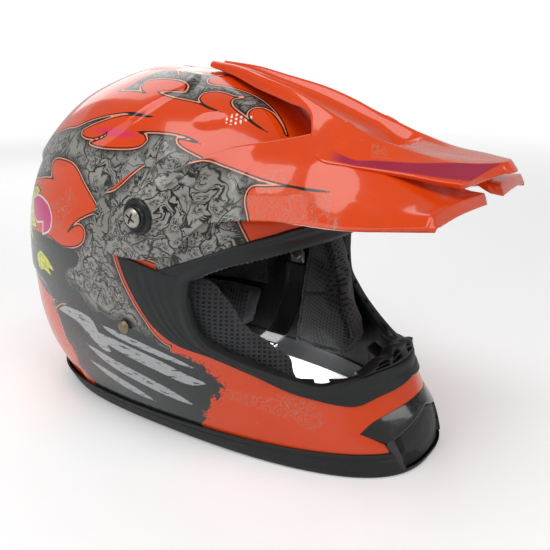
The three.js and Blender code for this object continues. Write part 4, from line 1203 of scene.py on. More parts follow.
def build_hood():
    keys = [[(x, -station, z) for x, z in line] for station, line in HOOD]
    keys = np.array(keys + [[(x, -forward, z) for x, z, forward in HOOD_NOSE]], float)
    knots = arc_lengths(keys[:, 3])
    rows = spline(keys, knots, np.linspace(0, knots[-1], 170))
    half = fillet_rows(rows, [0, 3.0, 3.4, 2.2, 1.0, 0], ROUND_STEPS, FLAT_STEPS)
    full = both_sides(half)
    count, columns = full.shape[:2]
    last = half.shape[1] - 1
    # thicker, leaning lip at the front
    lip = unit((np.arange(count)[:, None] - (count - 26)) / 25.0) ** 1.5
    lip = lip * np.clip(1.25 - np.abs(full[..., 0]) / 52, 0.35, 1)
    push = np.zeros(full.shape)
    push[..., 1] = -5.0 * lip**3
    points, faces = thick_grid(full, 2.6 + 3.6 * lip, flip=True, rim=5, push=push, bulge=0.14)
    # the strip beyond the last rounded corner is coloured, fading in forwards
    column = np.abs(np.arange(columns) - last)
    strip = unit(column - (4 * (FLAT_STEPS + ROUND_STEPS) - 3.2)) * unit((last - column - 0.6) / 0.8)
    fade = unit((-full[:, last, 1] - 104) / 46)
    side = np.zeros(len(points))
    side[: count * columns] = (strip[None] * fade[:, None]).reshape(-1)
    forward, x = -points[:, 1], np.abs(points[:, 0])
    printed = np.minimum(*(signed_distance(forward, x, loop) for loop in HOOD_SCROLLS))
    layers = paint_layers(*paint_coords(points), d_sc=printed, side=side)
    add_mesh("peak_hood", points, faces, PEAK_PAINT, "peak", body="peak", layers=layers,
             outward=True)


def arm_layers(points):
    fore, rise = paint_coords(points)
    return paint_layers(fore, rise, d_or=loops_distance(fore, rise, [GREY_ARM]),
                        d_sc=loops_distance(fore, rise, [SCROLL_WING]))


def arm_points(forward, columns):
    """The arm on the +x side, standing off the shell, with a mound round the pivot."""
    top, bottom = (np.interp(forward, *np.array(edge).T)[:, None] for edge in (ARM_TOP, ARM_BOTTOM))
    share = np.linspace(0, 1, columns)[None]
    z = top * (1 - share) + bottom * share
    forward = np.repeat(forward[:, None], columns, 1)
    gap = 4.9
    arm = offset(level_of(z), side_turn(np.clip(forward, -40, 104), z), gap)
    # walk the foot point so that the offset point keeps its place in side view
    for _ in range(3):
        foot, foot_z = np.clip(2 * forward + arm[..., 1], -60, 106), 2 * z - arm[..., 2]
        arm = offset(level_of(foot_z), side_turn(foot, foot_z), gap)
    radius = np.hypot(forward - PIVOT[0], z - PIVOT[1])
    arm[..., 0] += 3.7 * ease(unit(1 - (radius - 12.5) / 17.0)) + 0.8 * unit((forward - 42) / 20)
    return arm


def build_wing(sign, name):
    keys = np.array([[(point[0], -(point[2] if len(point) > 2 else station), point[1])
                      for point in line] for station, line in WING], float)
    stations = [station for station, _ in WING]
    # one more station behind, carried on from the first two
    keys = np.concatenate([keys[:1] + (keys[:1] - keys[1:2]) * 1.2, keys], 0)
    knots = [stations[0] - (stations[1] - stations[0]) * 1.2, *stations]
    forward = np.unique(np.concatenate(
        [np.linspace(-16.9, 80, 74), [14, 44, 61, -15, -8, -1], np.linspace(80, 200, 84)]))
    wing = spline(keys, knots, np.clip(forward, knots[0], 200))
    wing = fillet_rows(wing, [0, 9, 9, 2.4, 0], ROUND_STEPS, FLAT_STEPS)
    rows, columns = wing.shape[:2]
    wing[..., 1] = np.where((forward < 199)[:, None], -forward[:, None], wing[..., 1])
    wing[..., 0] += (0.8 * unit((112 - forward) / 25))[:, None]
    share = ease(unit((forward - 50) / 30))[:, None, None]
    sheet = arm_points(forward, columns) * (1 - share) + wing * share
    sheet = sheet * np.array([sign, 1, 1])
    # thicker towards the front, leaning forwards at its edge
    lip = unit((-sheet[..., 1] - 150) / 50.0) ** 1.4
    lip = lip * np.clip((columns - 1 - np.arange(columns)[None]) / 7.0, 0.42, 1)
    push = np.zeros(sheet.shape)
    push[..., 1] = -3.0 * unit((np.arange(rows)[:, None] - (rows - 12)) / 11.0) ** 2
    points, faces = thick_grid(sheet, 2.5 + 4.2 * lip, flip=(sign > 0), rim=5, push=push,
                               bulge=0.14)
    add_mesh(name, points, faces, PEAK_PAINT, "peak", body="peak", replace=False,
             layers=arm_layers(points), outward=True)


def add_lathe(name, profile, out, centre, sign, material, slot, body="helmet", steps=72,
              rounding=0.3, layers_of=None, replace=True):
    """(radius, outward) profile turned about an axis along x, starting out from the middle at
    centre (forward, z)."""
    line = np.array([[(radius, along, 0.0) for radius, along in profile]], float)
    radius, along, _ = fillet_rows(line, [rounding] * len(profile), 4, 1)[0].T[..., None]
    angle = np.arange(steps) * 2 * math.pi / steps
    rings = np.broadcast_arrays(-along, radius * np.cos(angle), radius * np.sin(angle))
    points = np.stack(rings, -1).reshape(-1, 3) + np.array([-out, -centre[0], centre[1]])
    if sign > 0:
        points = points * MIRROR
    obj = add_mesh(name, points, grid_faces(len(radius), steps, wrap=True), material, slot, body,
                   replace, layers=layers_of(points) if layers_of else None, sharp=50)
    with editing(obj.data) as work:
        bmesh.ops.remove_doubles(work, verts=work.verts, dist=1e-6)
        bmesh.ops.recalc_face_normals(work, faces=work.faces)
    return obj


BOSS = [(3.6, -7), (13.8, -7), (13.4, -4.6), (12.9, -0.8), (12.4, 0), (3.6, 0), (3.6, -7)]


def build_peak():
    build_hood()
    for sign, side in SIDES:
        build_wing(sign, "peak_wing_" + side)
        add_lathe("peak_boss_" + side, BOSS, 120.4, PIVOT, sign, PEAK_PAINT, "peak", "peak",
                  rounding=0.6, layers_of=arm_layers, replace=False)


# ------------------------------------------------------------------ camera, light, floor
def add_camera():
    azimuth, elevation = math.radians(-54.30), math.radians(18.65)
    back = Vector((math.sin(azimuth) * math.cos(elevation),
                   -math.cos(azimuth) * math.cos(elevation), math.sin(elevation)))
    right = Vector((math.cos(azimuth), math.sin(azimuth), 0))
    camera = bpy.data.cameras.new("photo_view")
    camera.sensor_width = 36
    camera.lens = 41.8909091
    obj = link_object("photo_view", camera)
    pose = Matrix((right, back.cross(right), back)).transposed().to_4x4()
    pose.translation = Vector(place((-389.5, -323.3, 273.2)).tolist())
    obj.matrix_world = pose
    bpy.context.scene.camera = obj


def add_area(name, spot, aim, size, power, size_y=None):
    """Area light; spot, aim and sizes in metres, power in watts."""
    light = bpy.data.lights.new(name, "AREA")
    light.energy, light.size = power, size
    if size_y:
        light.shape, light.size_y = "RECTANGLE", size_y
    obj = link_object(name, light)
    obj.location = spot
    obj.rotation_euler = (Vector(aim) - Vector(spot)).to_track_quat("-Z", "Y").to_euler()
    return obj


def add_world():
    """White to the camera, dim as a light."""
    world = bpy.data.worlds.new("studio")
    world.use_nodes = True
    tree = world.node_tree
    background = tree.nodes["Background"]
    background.inputs[0].default_value = (1, 1, 1, 1)
    path = tree.nodes.new("ShaderNodeLightPath")
    strength = tree.nodes.new("ShaderNodeMapRange")
    strength.inputs["To Min"].default_value = 0.22
    strength.inputs["To Max"].default_value = 1.0
    tree.links.new(path.outputs["Is Camera Ray"], strength.inputs["Value"])
    tree.links.new(strength.outputs[0], background.inputs[1])
    bpy.context.scene.world = world


def add_lights():
    middle = (0, 0, 0.15)
    add_area("softbox_top", (-0.35, -0.15, 1.35), middle, size=1.2, power=8.6, size_y=0.7)
    add_area("softbox_left", (-1.1, 0.35, 0.75), middle, size=0.9, power=3.6)
    add_area("softbox_front", (-0.2, -1.3, 0.8), (0, -0.05, 0.15), size=0.9, power=3.4, size_y=0.4)
    add_area("softbox_back", (0.7, 0.9, 0.9), (0, 0, 0.2), size=1.0, power=4.0)
    spot, aim = (tuple(place((30, -10, z)).tolist()) for z in (26, 0))
    add_area("floor_fill", spot, aim, size=0.09, power=0.12).visible_camera = False


def floor_paper():
    """White paper that glows more with distance, mostly to the camera."""
    graph = Graph("floor_paper")
    where = graph.position()
    tone = noise(where, scale=40.0, detail=3.0)
    glow = step(vector("LENGTH", where), 0.35, 2.6, low=0.20, high=0.74)
    seen = graph.add("LightPath", {}, "Is Camera Ray")
    return graph.finish(
        Base_Color=mix_linear(tone, (0.90, 0.90, 0.90), (0.93, 0.93, 0.93)),
        Roughness=spread(tone, low=0.75, high=0.9), Specular_IOR_Level=0.2,
        Normal=bump(noise(where, scale=400.0, detail=3.0), strength=0.05, distance=0.0003),
        Emission_Color=(1, 1, 1), Emission_Strength=glow * (seen * 0.75 + 0.25))


# radius and z of the floor's rings, in metres: flat, then curving up
FLOOR_Z = -0.0002
FLOOR_RINGS = [(4.0, FLOOR_Z), (4.8, 0.05), (5.6, 0.25), (6.3, 0.65), (6.9, 1.25), (7.3, 2.0),
               (7.5, 2.8), (7.6, 3.6)]


def build_floor():
    around = 72
    angles = [i * 2 * math.pi / around for i in range(around)]
    points = [(0.0, 0.0, FLOOR_Z)]
    points += [(r * math.cos(angle), r * math.sin(angle), z)
               for r, z in FLOOR_RINGS for angle in angles]
    faces = [(0, 1 + i, 1 + (i + 1) % around) for i in range(around)]
    for ring in range(len(FLOOR_RINGS) - 1):
        inner, outer = 1 + ring * around, 1 + (ring + 1) * around
        for i in range(around):
            j = (i + 1) % around
            faces.append((inner + i, outer + i, outer + j, inner + j))
    paper = floor_paper()
    mesh = bpy.data.meshes.new("floor")
    mesh.from_pydata(points, [], faces)
    smooth_shading(mesh)
    mesh.materials.append(paper)
    link_object("floor", mesh)


# ------------------------------------------------------------------ pieces grown from packed ones
def copy_of(node, name):
    source = NODES[node]
    mesh = source.data.copy()
    mesh.name = name
    mesh.transform(source.matrix_world)
    mesh.materials.clear()
    with editing(mesh) as work:
        bmesh.ops.remove_doubles(work, verts=work.verts, dist=1e-5)
    return link_object(name, mesh)


def evaluated_mesh(obj):
    evaluated = obj.evaluated_get(bpy.context.evaluated_depsgraph_get())
    return bpy.data.meshes.new_from_object(evaluated)


def apply_modifiers(obj):
    mesh, old = evaluated_mesh(obj), obj.data
    mesh.name = obj.name + "_mesh"
    obj.modifiers.clear()
    obj.data = mesh
    bpy.data.meshes.remove(old)


def read_vectors(mesh, field):
    """Vertex "co" or "normal" as an (n, 3) array."""
    values = np.empty(len(mesh.vertices) * 3, np.float32)
    mesh.vertices.foreach_get(field, values)
    return values.reshape(-1, 3).astype(float)


def move_points(mesh, points):
    mesh.vertices.foreach_set("co", np.asarray(points, np.float32).ravel())
    mesh.update()


def remeshed(node, name, voxel, rounds):
    """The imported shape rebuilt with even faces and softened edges; voxel in mm."""
    obj = copy_of(node, name)
    remesh = obj.modifiers.new("remesh", "REMESH")
    remesh.mode, remesh.voxel_size = "VOXEL", voxel / 1000.0
    smooth = obj.modifiers.new("smooth", "SMOOTH")
    smooth.factor, smooth.iterations = 0.5, rounds
    apply_modifiers(obj)
    return obj


def build_foam(node, name, voxel, rounds, unevenness):
    obj = remeshed(node, name, voxel, rounds)
    mesh = obj.data
    points, normals = read_vectors(mesh, "co"), read_vectors(mesh, "normal")
    x, y, z = points.T * 1000.0
    wave = (np.sin(x * 0.11 + np.sin(z * 0.07) * 2) * np.sin(y * 0.09 + 1.3)
            * np.sin(z * 0.1 + 0.4))
    move_points(mesh, points + normals * (wave * unevenness / 1000.0)[:, None])
    smooth_shading(mesh)
    mesh.materials.append(BEAD_FOAM)
    claim(obj, "helmet", node)


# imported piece, name, mm drawn in before inflating, most mm it may move while inflating
PADS = [
    ("cheek_pad_right", "cheek_cushion_right", 3.0, 6.0),
    ("cheek_pad_left", "cheek_cushion_left", 3.0, 6.0),
    ("neck_roll", "neck_cushion", 2.6, 5.0),
]
CLOTH_FRAMES = 20


def start_pad(node, name, shrink):
    obj = remeshed(node, name, voxel=4.0, rounds=5)
    with editing(obj.data) as work:
        if work.calc_volume(signed=True) < 0:
            bmesh.ops.reverse_faces(work, faces=work.faces)
    start = read_vectors(obj.data, "co") - read_vectors(obj.data, "normal") * shrink / 1000.0
    move_points(obj.data, start)
    cloth = obj.modifiers.new("cloth", "CLOTH")
    cloth.settings.use_pressure = True
    cloth.settings.uniform_pressure_force = 4.0
    cloth.settings.effector_weights.gravity = 0.0
    cloth.settings.quality = 5
    cloth.collision_settings.use_collision = False
    cloth.point_cache.frame_start, cloth.point_cache.frame_end = 1, CLOTH_FRAMES
    return obj, start


def cheek_seams(x, forward, z, normals):
    """Seam depth in mm on the face towards the head, and the fabric's coordinates."""
    edge = signed_distance(forward, z, CUSHION, 30.0)
    inner = unit(-normals[:, 0] * np.sign(x) * 2.0)
    border = swell(edge + 8.5, 1.3) * inner
    cross = swell(z - 78 - (forward - 40) * 0.35, 1.4) * inner * (edge < -8.5)
    return (border * 1.7 + cross * 1.5,
            pattern(forward - np.abs(x) * 0.75, z - np.abs(x) * 0.3))


def neck_seams(x, forward, z, normals):
    """As cheek_seams, with seams fanned round a centre and one level band."""
    back = -forward - 34
    angle = np.degrees(np.arctan2(x, back))
    radius = np.hypot(x, back)
    seams = sum(swell(angle - seam, 1.1) for seam in (-62, -38, -13, 13, 38, 62))
    inner = unit(-(normals[:, 0] * x + normals[:, 1] * back) / (radius + 1e-6) * 2.5)
    return (seams * inner * 1.6 + swell(z - 29, 1.2), pattern(angle * 1.6, z - radius * 0.5))


def finish_pad(obj, start, node, most):
    inflated = evaluated_mesh(obj)
    move = read_vectors(inflated, "co") - start
    bpy.data.meshes.remove(inflated)
    obj.modifiers.clear()
    length = np.linalg.norm(move, axis=1, keepdims=True) + 1e-9
    move_points(obj.data, start + move * np.minimum(1.0, (most / 1000.0) / length))
    subdivide = obj.modifiers.new("subdivide", "SUBSURF")
    subdivide.levels = subdivide.render_levels = 1
    apply_modifiers(obj)
    mesh = obj.data
    points, normals = read_vectors(mesh, "co"), read_vectors(mesh, "normal")
    x, y, z = (points * 1000.0 - np.array([0.0, MOVE_BACK, 0.0])).T
    seams = cheek_seams if node.startswith("cheek") else neck_seams
    depth, layers = seams(x, -y, z, normals)
    move_points(mesh, points - normals * (depth / 1000.0)[:, None])
    add_attributes(mesh, layers)
    mesh.materials.append(SPACER)
    smooth_shading(mesh)
    claim(obj, "helmet", node)


def build_pads():
    started = [start_pad(node, name, shrink) for node, name, shrink, _ in PADS]
    for number in range(1, CLOTH_FRAMES + 1):
        bpy.context.scene.frame_set(number)
    for (obj, start), (node, _, _, most) in zip(started, PADS):
        finish_pad(obj, start, node, most)
    bpy.context.scene.frame_set(1)


def build_crown():
    """Quilted crown liner: pads divided by sewn channels."""
    half_x, half_y, half_z = 82.8, 106.8, 94.8  # ellipsoid round (0, 34, 140)
    tilts = np.linspace(0.02, 1.34, 74)
    tilt, turn = np.meshgrid(tilts, np.linspace(0, 2 * math.pi, 180, endpoint=False),
                             indexing="ij")
    # lower edge: level at the sides and back, rising in front
    lowest = 158.8 + unit(np.cos(turn)) * 12.0
    limit = np.arccos(np.clip((lowest - 140) / half_z, -1, 1))
    tilt = tilt / tilts[-1] * limit
    x, y, z = np.sin(tilt) * np.sin(turn), -np.sin(tilt) * np.cos(turn), np.cos(tilt)
    outer = np.stack([half_x * x, half_y * y + 34, half_z * z + 140], -1)
    normal = unit_vectors(np.stack([x / half_x, y / half_y, z / half_z], -1), 0)
    share = tilt / limit
    seam = np.full(tilt.shape, 9.0)  # mm to the nearest channel
    for k in range(8):
        angle = np.abs((turn - (k + 0.5) * math.pi / 4 + math.pi) % (2 * math.pi) - math.pi)
        seam = np.minimum(seam, np.where(share > 0.40, angle * 85 * np.sin(tilt), 9))
    seam = np.minimum(seam, np.abs(share - 0.40) * 95)
    seam = np.minimum(seam, (1 - share) * 95 + 1.2)
    puff = 1 - np.exp(-(seam / 3.4))
    gather = 0.25 * np.sin(turn * 60) * swell(seam, 2.5)
    inner = outer - normal * (3.0 + 4.2 * puff + gather)[..., None]
    edge = outer[-1:] - normal[-1:] * 1.4 + np.array([0, 0, -0.9])
    rows = np.concatenate([outer, edge, inner[::-1]], 0)
    count, around = rows.shape[:2]
    caps = [list(range(around)), list(range((count - 1) * around, count * around))[::-1]]
    faces = grid_faces(count, around, wrap=True).tolist() + caps
    coords = np.stack([turn * 62, share * 118], -1)
    coords = np.concatenate([coords, coords[-1:], coords[::-1]], 0)
    add_mesh("crown_quilt", rows.reshape(-1, 3), faces, SPACER, "crown_liner",
             layers=pattern(coords[..., 0], coords[..., 1]), outward=True)


# ------------------------------------------------------------------ chin pieces
GUARD_HALF = 37.6  # half the guard's width
# forward and z of the guard's lower and upper edge
GUARD_LOW = outline("100 68.6, 110 65.6, 122 62.8, 131 64.5, 141 67, 150 69.5, 175 72")
GUARD_TOP = outline("100 70, 110 71, 122 76, 133 81.5, 146 85, 175 82")
# the guard's top turning inwards: mm out from the shell, mm up
GUARD_LIP = ((-0.7, 0.7), (-2.0, 1.15), (-4.0, 1.1), (-6.2, 0.9), (-8.2, 0.5), (-9.4, -0.4),
             (-10, -2.0), (-10, -6.0), (-10, -11.0))


def guard_heights(x, share):
    """z over the guard, found with the forward place of the shell there."""
    skip = 5  # the shell is sampled at every fifth point and filled in between
    rows, columns = (np.arange(count) for count in x.shape)
    z = 68 + 12 * share
    side = np.abs(x)
    middle = unit((GUARD_HALF - side) / 17.0)
    for _ in range(6):
        forward = -on_shell(x[::skip, ::skip], z[::skip, ::skip], 2.6)[..., 1]
        forward = np.array([np.interp(columns, columns[::skip], row) for row in forward])
        forward = np.array([np.interp(rows, rows[::skip], column) for column in forward.T]).T
        low, top = (np.interp(forward, *np.array(edge).T) for edge in (GUARD_LOW, GUARD_TOP))
        top = np.minimum(top, 80.5 - 4.5 * unit((side - 8) / 16))
        top = low + (top - low) * (0.12 + 0.88 * ease(middle))
        top = top - 1.6 * middle * swell(side - 15, 5.5) + 0.8 * swell(side - 5, 4)
        z = low + (top - low) * share
    return z


def build_guard():
    """Nose guard over the chin bar, with two slots and two scoops each side."""
    x, share = np.meshgrid(np.linspace(-GUARD_HALF, GUARD_HALF, 151), np.linspace(0, 1, 46))
    z = guard_heights(x, share)
    side = np.abs(x)
    end = rounded((GUARD_HALF - side) / 4.0)
    out = 0.6 + 2.5 * end * rounded(share / 0.14) + end * 1.3 * swell(share - 0.80, 0.16)
    for centre, half, half_share in ((9.6, 5.4, 0.115), (22.6, 5.0, 0.105)):  # slots
        reach = np.maximum(np.abs(side - centre) / half, np.abs(share - 0.34) / half_share)
        out = out - 4.6 * unit((1 - reach) / 0.10) ** 0.8
    rise = unit((share - 0.56) / 0.40)
    for centre, half in ((8.6, 5.2), (21.0, 5.0)):  # scoops, open towards the top edge
        reach = np.abs(side - centre - 2.0 * rise) / (half * (1.05 - 0.55 * rise))
        scoop = unit((1 - reach) / 0.28) * unit((share - 0.54) / 0.06)
        out = out - 3.6 * scoop * (0.45 + 0.55 * (1 - rise))
    rows = [on_shell(x, z, out)]
    for lip_out, lip_up in GUARD_LIP:
        rows.append(on_shell(x[-1:], np.minimum(z[-1:] + lip_up, 86),
                             out[-1:] * np.exp(lip_out * 0.25) + lip_out))
    rows.append(on_shell(x[:1], z[:1] - 0.6, -6.0))
    rows.append(on_shell(x[:1], z[:1] - 0.8, -2.0))
    add_closed_rows(np.concatenate(rows, 0), "nose_deflector", GUARD_PLASTIC, "nose_guard")


# half of the vent brow's upper and lower edge: x, z up to the centre
BROW_TOP = outline("-46.5 29.6, -39 36.6, -30 41, -19 44.3, -9 46.2, 0 47")
BROW_LOW = outline("-36.2 23.2, -31 26.4, -24 30.4, -16 34.2, -8 37.6, 0 40.4")
# share of the way from upper to lower edge, mm out; then mm down under the lower edge, mm out
BROW_FACE = ((0, -0.8), (0, 0.5), (0.03, 0.95), (0.25, 1.9), (0.5, 2.9), (0.75, 3.9),
             (0.94, 4.75), (1, 4.9))
BROW_UNDER = ((-0.5, 5.0), (-1.0, 4.75), (-1.5, 4.1), (-1.9, 3.0), (-2.0, 1.2), (-1.8, -0.8))
# outer and inner edge of a vent leg: x, z; its section: share of the way across, mm out
LEG_OUTER = outline("-37.4 23.6, -35.6 15, -34.4 8, -33.6 3.9")
LEG_INNER = outline("-32 25.2, -31 16, -30.2 8.5, -29.4 3.9")
LEG_SECTION = ((0, -0.8), (0, 0.7), (0.06, 1.3), (0.3, 2.2), (0.6, 3.0), (0.86, 3.4),
               (0.96, 3.2), (1, 2.6), (1, 0.6), (1, -0.8))


def build_vent_frame():
    count = 121
    upper, lower = (spline_line(half + [(-x, z) for x, z in half[-2::-1]], count)
                    for half in (BROW_TOP, BROW_LOW))
    size = (3.6 - 0.8 * np.linspace(-1, 1, count) ** 2) / 5.2  # lower towards the ends

    def brow_row(line, out):
        return on_shell(line[:, 0], line[:, 1], out * size if out > 0.5 else out)

    rows = [brow_row(upper * (1 - share) + lower * share, out) for share, out in BROW_FACE]
    rows += [brow_row(lower + np.array([0, up]), out) for up, out in BROW_UNDER]
    add_closed_rows(np.array(rows), "chin_vent_brow", GLOSS_BLACK, "chin_vent_frame")
    outer, inner = spline_line(LEG_OUTER, 40), spline_line(LEG_INNER, 40)
    for sign, side in SIDES:
        rows = []
        for share, out in LEG_SECTION:
            line = outer * (1 - share) + inner * share
            rows.append(on_shell(line[:, 0], line[:, 1], out))
        add_closed_rows(np.array(rows) * np.array([-sign, 1, 1]), "chin_vent_leg_" + side,
                        GLOSS_BLACK, "chin_vent_frame", replace=False)


def build_vent_well():
    """Dark sheet behind the vent panel: painted shade where the openings round the panel are seen.
    """
    x, share = np.meshgrid(np.linspace(-34, 34, 60), np.linspace(0, 1, 30))
    top = np.interp(np.abs(x), [0, 8, 16, 24, 31, 36], [40, 37, 33.6, 30, 26, 22.6])
    points, faces = thick_grid(on_shell(x, 4.0 + (top - 4.0) * share, 0.25), 0.8)
    add_mesh("chin_vent_well", points, faces, RAW_WALL, "chin_vent_frame", replace=False,
             outward=True)


def build_vent_cover():
    """Matt panel, flatter than the shell behind it, with a pressed border."""
    half, low = 27.6, 4.6
    x, share = np.meshgrid(np.linspace(-half, half, 111), np.linspace(0, 1, 61))
    top = np.interp(np.abs(x), [0, 8, 16, 24, 30], [38.8, 35.9, 32.4, 28.8, 25.4])
    z = low + (top - low) * share
    centre = on_shell(np.zeros(61), low + 34.2 * np.linspace(0, 1, 61), 0.9)
    panel = on_shell(x, z, 0.0)
    level_y = np.interp(panel[..., 2], centre[:, 2], centre[:, 1]) if False else np.interp(
        z, centre[:, 2], centre[:, 1])
    panel[..., 1] = level_y + 6.5 * (np.abs(x) / half) ** 2
    # nowhere further forward than just off the shell
    panel[..., 1] = np.maximum(panel[..., 1], on_shell(x, z, 1.5)[..., 1])
    edge = np.minimum(half - np.abs(x), np.minimum(z - low, top - z))
    panel[..., 1] += 0.35 * swell(edge - 3.0, 0.7) + 0.9 * unit(1 - edge / 1.2) ** 2
    points, faces = thick_grid(panel, 1.6)
    add_mesh("chin_vent_cover", points, faces, PANEL_PLASTIC, "chin_vent_panel", outward=True)


def build_vent_gauze():
    """Wire gauze behind the slot."""
    x, z = np.meshgrid(np.linspace(-25.6, 25.6, 25), np.linspace(17.4, 37.6, 11))
    obj = add_mesh("chin_vent_gauze", on_shell(x, z, -5.2).reshape(-1, 3), grid_faces(*x.shape),
                   ZINC, "chin_vent_mesh")
    wires = obj.modifiers.new("wires", "WIREFRAME")
    wires.thickness = 0.0009
    wires.use_replace = True
    apply_modifiers(obj)
    smooth_shading(obj.data)


# ------------------------------------------------------------------ fasteners
# (radius, outward) profiles
WASHER = [(3.1, 0), (11.8, 0), (11.8, 1.5), (10.9, 2.6), (9.4, 2.6), (9.0, 2.0), (8.0, 2.0),
          (7.4, 4.1), (3.1, 4.1), (3.1, 0)]
SCREW = [(0.01, 2.55), (4.2, 2.45), (5.8, 1.9), (6.4, 0.9), (6.4, 0), (2.6, 0), (2.6, -25.8),
         (0.01, -25.8)]
NUT = [(2.9, 0), (6.9, 0), (8.5, 1.0), (8.5, 8.2), (6.9, 9.2), (2.9, 9.2), (2.9, 0)]
RIVET = [(0.01, 2.4), (1.6, 2.35), (3.2, 1.9), (4.5, 1.0), (5.0, 0.1), (5.0, -0.6),
         (2.35, -0.6), (2.35, -14.8), (4.6, -14.8), (4.6, -16.2), (3.4, -16.9), (0.01, -17.0)]


def cut_cross(obj, sign):
    """Cross slot in the screw's head."""
    work = bmesh.new()
    centre = Vector(place((sign * 128.0, -PIVOT[0], PIVOT[1])).tolist())
    for angle in (30, 120):
        turn = Matrix.Rotation(math.radians(angle), 4, "X")
        bar = Matrix.Diagonal((0.0034, 0.0014, 0.0082, 1.0))
        bmesh.ops.create_cube(work, size=1.0, matrix=Matrix.Translation(centre) @ turn @ bar)
    mesh = bpy.data.meshes.new("slot_cutter")
    work.to_mesh(mesh)
    work.free()
    cutter = link_object("slot_cutter", mesh)
    cut = obj.modifiers.new("cut", "BOOLEAN")
    cut.operation, cut.object, cut.solver, cut.use_self = "DIFFERENCE", cutter, "EXACT", True
    bpy.context.view_layer.update()
    apply_modifiers(obj)
    obj.data.set_sharp_from_angle(angle=math.radians(35))
    bpy.data.objects.remove(cutter)


def build_plate(side):
    slot = "strap_plate_" + side
    obj = copy_of(slot, "anchor_plate_" + side)
    bevel = obj.modifiers.new("bevel", "BEVEL")
    bevel.width, bevel.segments = 0.00045, 3
    bevel.limit_method, bevel.angle_limit = "ANGLE", math.radians(40)
    apply_modifiers(obj)
    obj.data.materials.append(ZINC)
    smooth_shading(obj.data)
    obj.data.set_sharp_from_angle(angle=math.radians(35))
    claim(obj, "chin_strap_" + side, slot)


def build_fasteners():
    for sign, side in SIDES:
        body = "peak_screw_" + side
        add_lathe("knob_washer_" + side, WASHER, 120.95, PIVOT, sign, WASHER_PLASTIC,
                  "peak_washer_" + side, body, steps=96, rounding=0.35)
        screw = add_lathe("knob_screw_" + side, SCREW, 125.4, PIVOT, sign, NICKEL, body, body,
                          steps=96)
        cut_cross(screw, sign)
        add_lathe("hex_nut_" + side, NUT, 100.0, PIVOT, sign, ZINC, "peak_nut_" + side, steps=6,
                  rounding=0.2)
        add_lathe("shell_rivet_" + side, RIVET, 116.6, (-3, 95.8), sign, BRONZE,
                  "strap_rivet_" + side, rounding=0.25)
        build_plate(side)


# ------------------------------------------------------------------ straps and rings
STRAP_FORWARD = -3.0  # forward place of the straps' centre line
STRAP_WIDTH, STRAP_THICK = 21.6, 1.9
STRAP_TOP = 100.1  # x of the upper ends
# centre lines (x, z) and sewn stretches (mm along)
STRAPS = {
    "right": ([(-STRAP_TOP, 86), (-STRAP_TOP + 3, 66), (-88, 46), (-76, 31), (-56, 22),
               (-30, 18), (-8, 17)], ((2, 22), (118, 134))),
    "left": ([(STRAP_TOP, 86), (STRAP_TOP - 3, 66), (88, 46), (79, 33), (68, 26), (51, 23),
              (47.5, 22.9), (45.2, 23)], ((2, 22), (56, 76))),
}


def build_stitches(name, slot, run, line, along, stretches):
    """Short rounded threads proud of both faces of a strap."""
    pitch, row = 2.6, 7.6
    size = Matrix.Diagonal((0.00095, 0.00032, 0.0003, 1))
    work = bmesh.new()
    for start, end in stretches:
        for across in (-row, row):
            for k in range(int((end - start) / pitch)):
                spot = start + k * pitch
                x, z, along_x, along_z = (
                    np.interp(spot, run, values) for values in (*line.T, *along.T))
                turn = Matrix(((along_x, 0, along_z), (0, 1, 0), (along_z, 0, -along_x))).to_4x4()
                for face in (-1, 1):
                    lift = face * STRAP_THICK / 2 * 0.96
                    centre = place((x + along_z * lift, -(STRAP_FORWARD + across),
                                    z - along_x * lift))
                    pose = Matrix.Translation(Vector(centre.tolist())) @ turn @ size
                    bmesh.ops.create_uvsphere(work, u_segments=8, v_segments=6, radius=1.0,
                                              matrix=pose)
    mesh = bpy.data.meshes.new(name)
    bmesh.ops.recalc_face_normals(work, faces=work.faces)
    work.to_mesh(mesh)
    work.free()
    mesh.materials.append(THREAD)
    smooth_shading(mesh)
    claim(link_object(name, mesh), slot, slot, replace=False)


def build_strap(side):
    path, stretches = STRAPS[side]
    name, slot = "webbing_" + side, "chin_strap_" + side
    line = spline_line(path, 130)
    along = unit_vectors(np.gradient(line, axis=0), 0)
    run = arc_lengths(line)
    across = np.linspace(-STRAP_WIDTH / 2, STRAP_WIDTH / 2, 33)
    edge = unit((STRAP_WIDTH / 2 - np.abs(across)) / 0.9)
    height = STRAP_THICK / 2 * np.sqrt(np.clip(1 - (1 - edge) ** 2, 0.02, 1))
    height = height - 0.16 * swell(np.abs(across) - 8.4, 0.5)
    loop = np.concatenate([across, across[::-1]])[None]
    loop_height = np.concatenate([height, -height[::-1]])[None]
    lift = loop_height * (1 + 0.05 * np.sin(run * 4.2))[:, None]
    x = line[:, :1] + along[:, 1:] * lift
    z = line[:, 1:] - along[:, :1] * lift
    y = np.broadcast_to(-(STRAP_FORWARD + loop), x.shape)
    add_mesh(name, np.stack([x, y, z], -1).reshape(-1, 3), tube_faces(*x.shape), TAPE, slot,
             slot, layers=pattern(run[:, None], loop), sharp=60, outward=True)
    build_stitches(name + "_stitches", slot, run, line, along, stretches)


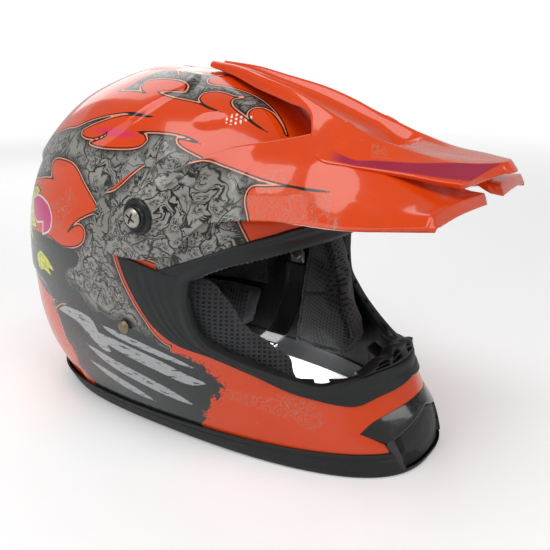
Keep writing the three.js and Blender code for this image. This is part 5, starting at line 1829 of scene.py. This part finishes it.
def build_ring(name, z, slot):
    """D ring: a bent wire closed by a straight bar."""
    half, wire, bar_x, around = 14.4, 1.78, 46, 20
    bend = spline_line([
        (0, -half), (-5, -half), (-13, -half * 0.86), (-20, -half * 0.45), (-22, 0),
        (-20, half * 0.45), (-13, half * 0.86), (-5, half), (0, half)], 90)
    path = np.stack([bar_x + bend[:, 0], -(STRAP_FORWARD + bend[:, 1]), np.full(90, z)], -1)
    along = unit_vectors(np.gradient(path, axis=0), 0)
    beside = unit_vectors(np.cross(along, np.array([0, 0, 1.0])), 1e-9)
    above = np.cross(beside, along)
    angle = np.arange(around) * 2 * math.pi / around
    cos, sin = np.cos(angle), np.sin(angle)
    bow = path[:, None] + wire * (beside[:, None] * cos[None, :, None]
                                  + above[:, None] * sin[None, :, None])
    across = np.linspace(-half - 1.3, half + 1.3, 40)[:, None]
    taper = 1 - unit((np.abs(across) - (half + 0.1)) / 1.25) ** 2
    radius = wire * np.sqrt(np.clip(taper, 0.03, 1))
    bar = np.stack(np.broadcast_arrays(
        bar_x + radius * cos, -(STRAP_FORWARD + across), z + radius * sin), -1)
    points = np.vstack([bow.reshape(-1, 3), bar.reshape(-1, 3)])
    first = bow.shape[0] * around
    faces = tube_faces(90, around) + [[i + first for i in face] for face in tube_faces(40, around)]
    add_mesh(name, points, faces, CHROME, slot, slot, sharp=60, outward=True)


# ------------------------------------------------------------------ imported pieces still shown
def dress_packed():
    """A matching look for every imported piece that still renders."""
    looks = {
        "nose_guard": GUARD_PLASTIC, "chin_vent_frame": GLOSS_BLACK,
        "chin_vent_panel": PANEL_PLASTIC, "chin_vent_mesh": ZINC, "eps_liner": BEAD_FOAM,
        "chin_eps": BEAD_FOAM, "crown_liner": KNIT, "neck_roll": KNIT,
        "d_ring_lower": CHROME, "d_ring_upper": CHROME,
    }
    paired = {
        "cheek_pad": SPACER, "peak_washer": WASHER_PLASTIC, "peak_screw": NICKEL,
        "peak_nut": ZINC, "strap_rivet": BRONZE, "strap_plate": ZINC, "chin_strap": TAPE,
    }
    looks |= {f"{part}_{side}": look for part, look in paired.items() for _, side in SIDES}
    for node, look in looks.items():
        obj = NODES[node]
        if not obj.hide_render:
            obj.data.materials.clear()
            obj.data.materials.append(look)


build_shell()
build_inner_wall()
build_eye_trim()
build_rim()
build_peak()
bpy.context.scene.view_settings.view_transform = "Standard"
add_camera()
add_world()
add_lights()
build_floor()
build_foam("eps_liner", "foam_liner", voxel=3.0, rounds=5, unevenness=0.25)
build_foam("chin_eps", "foam_chin_block", voxel=2.0, rounds=4, unevenness=0.2)
build_pads()
build_crown()
build_guard()
build_vent_frame()
build_vent_well()
build_vent_cover()
build_vent_gauze()
build_fasteners()
for _, strap_side in SIDES:
    build_strap(strap_side)
build_ring("steel_ring_lower", 19.1, "d_ring_lower")
build_ring("steel_ring_upper", 24.9, "d_ring_upper")
dress_packed()
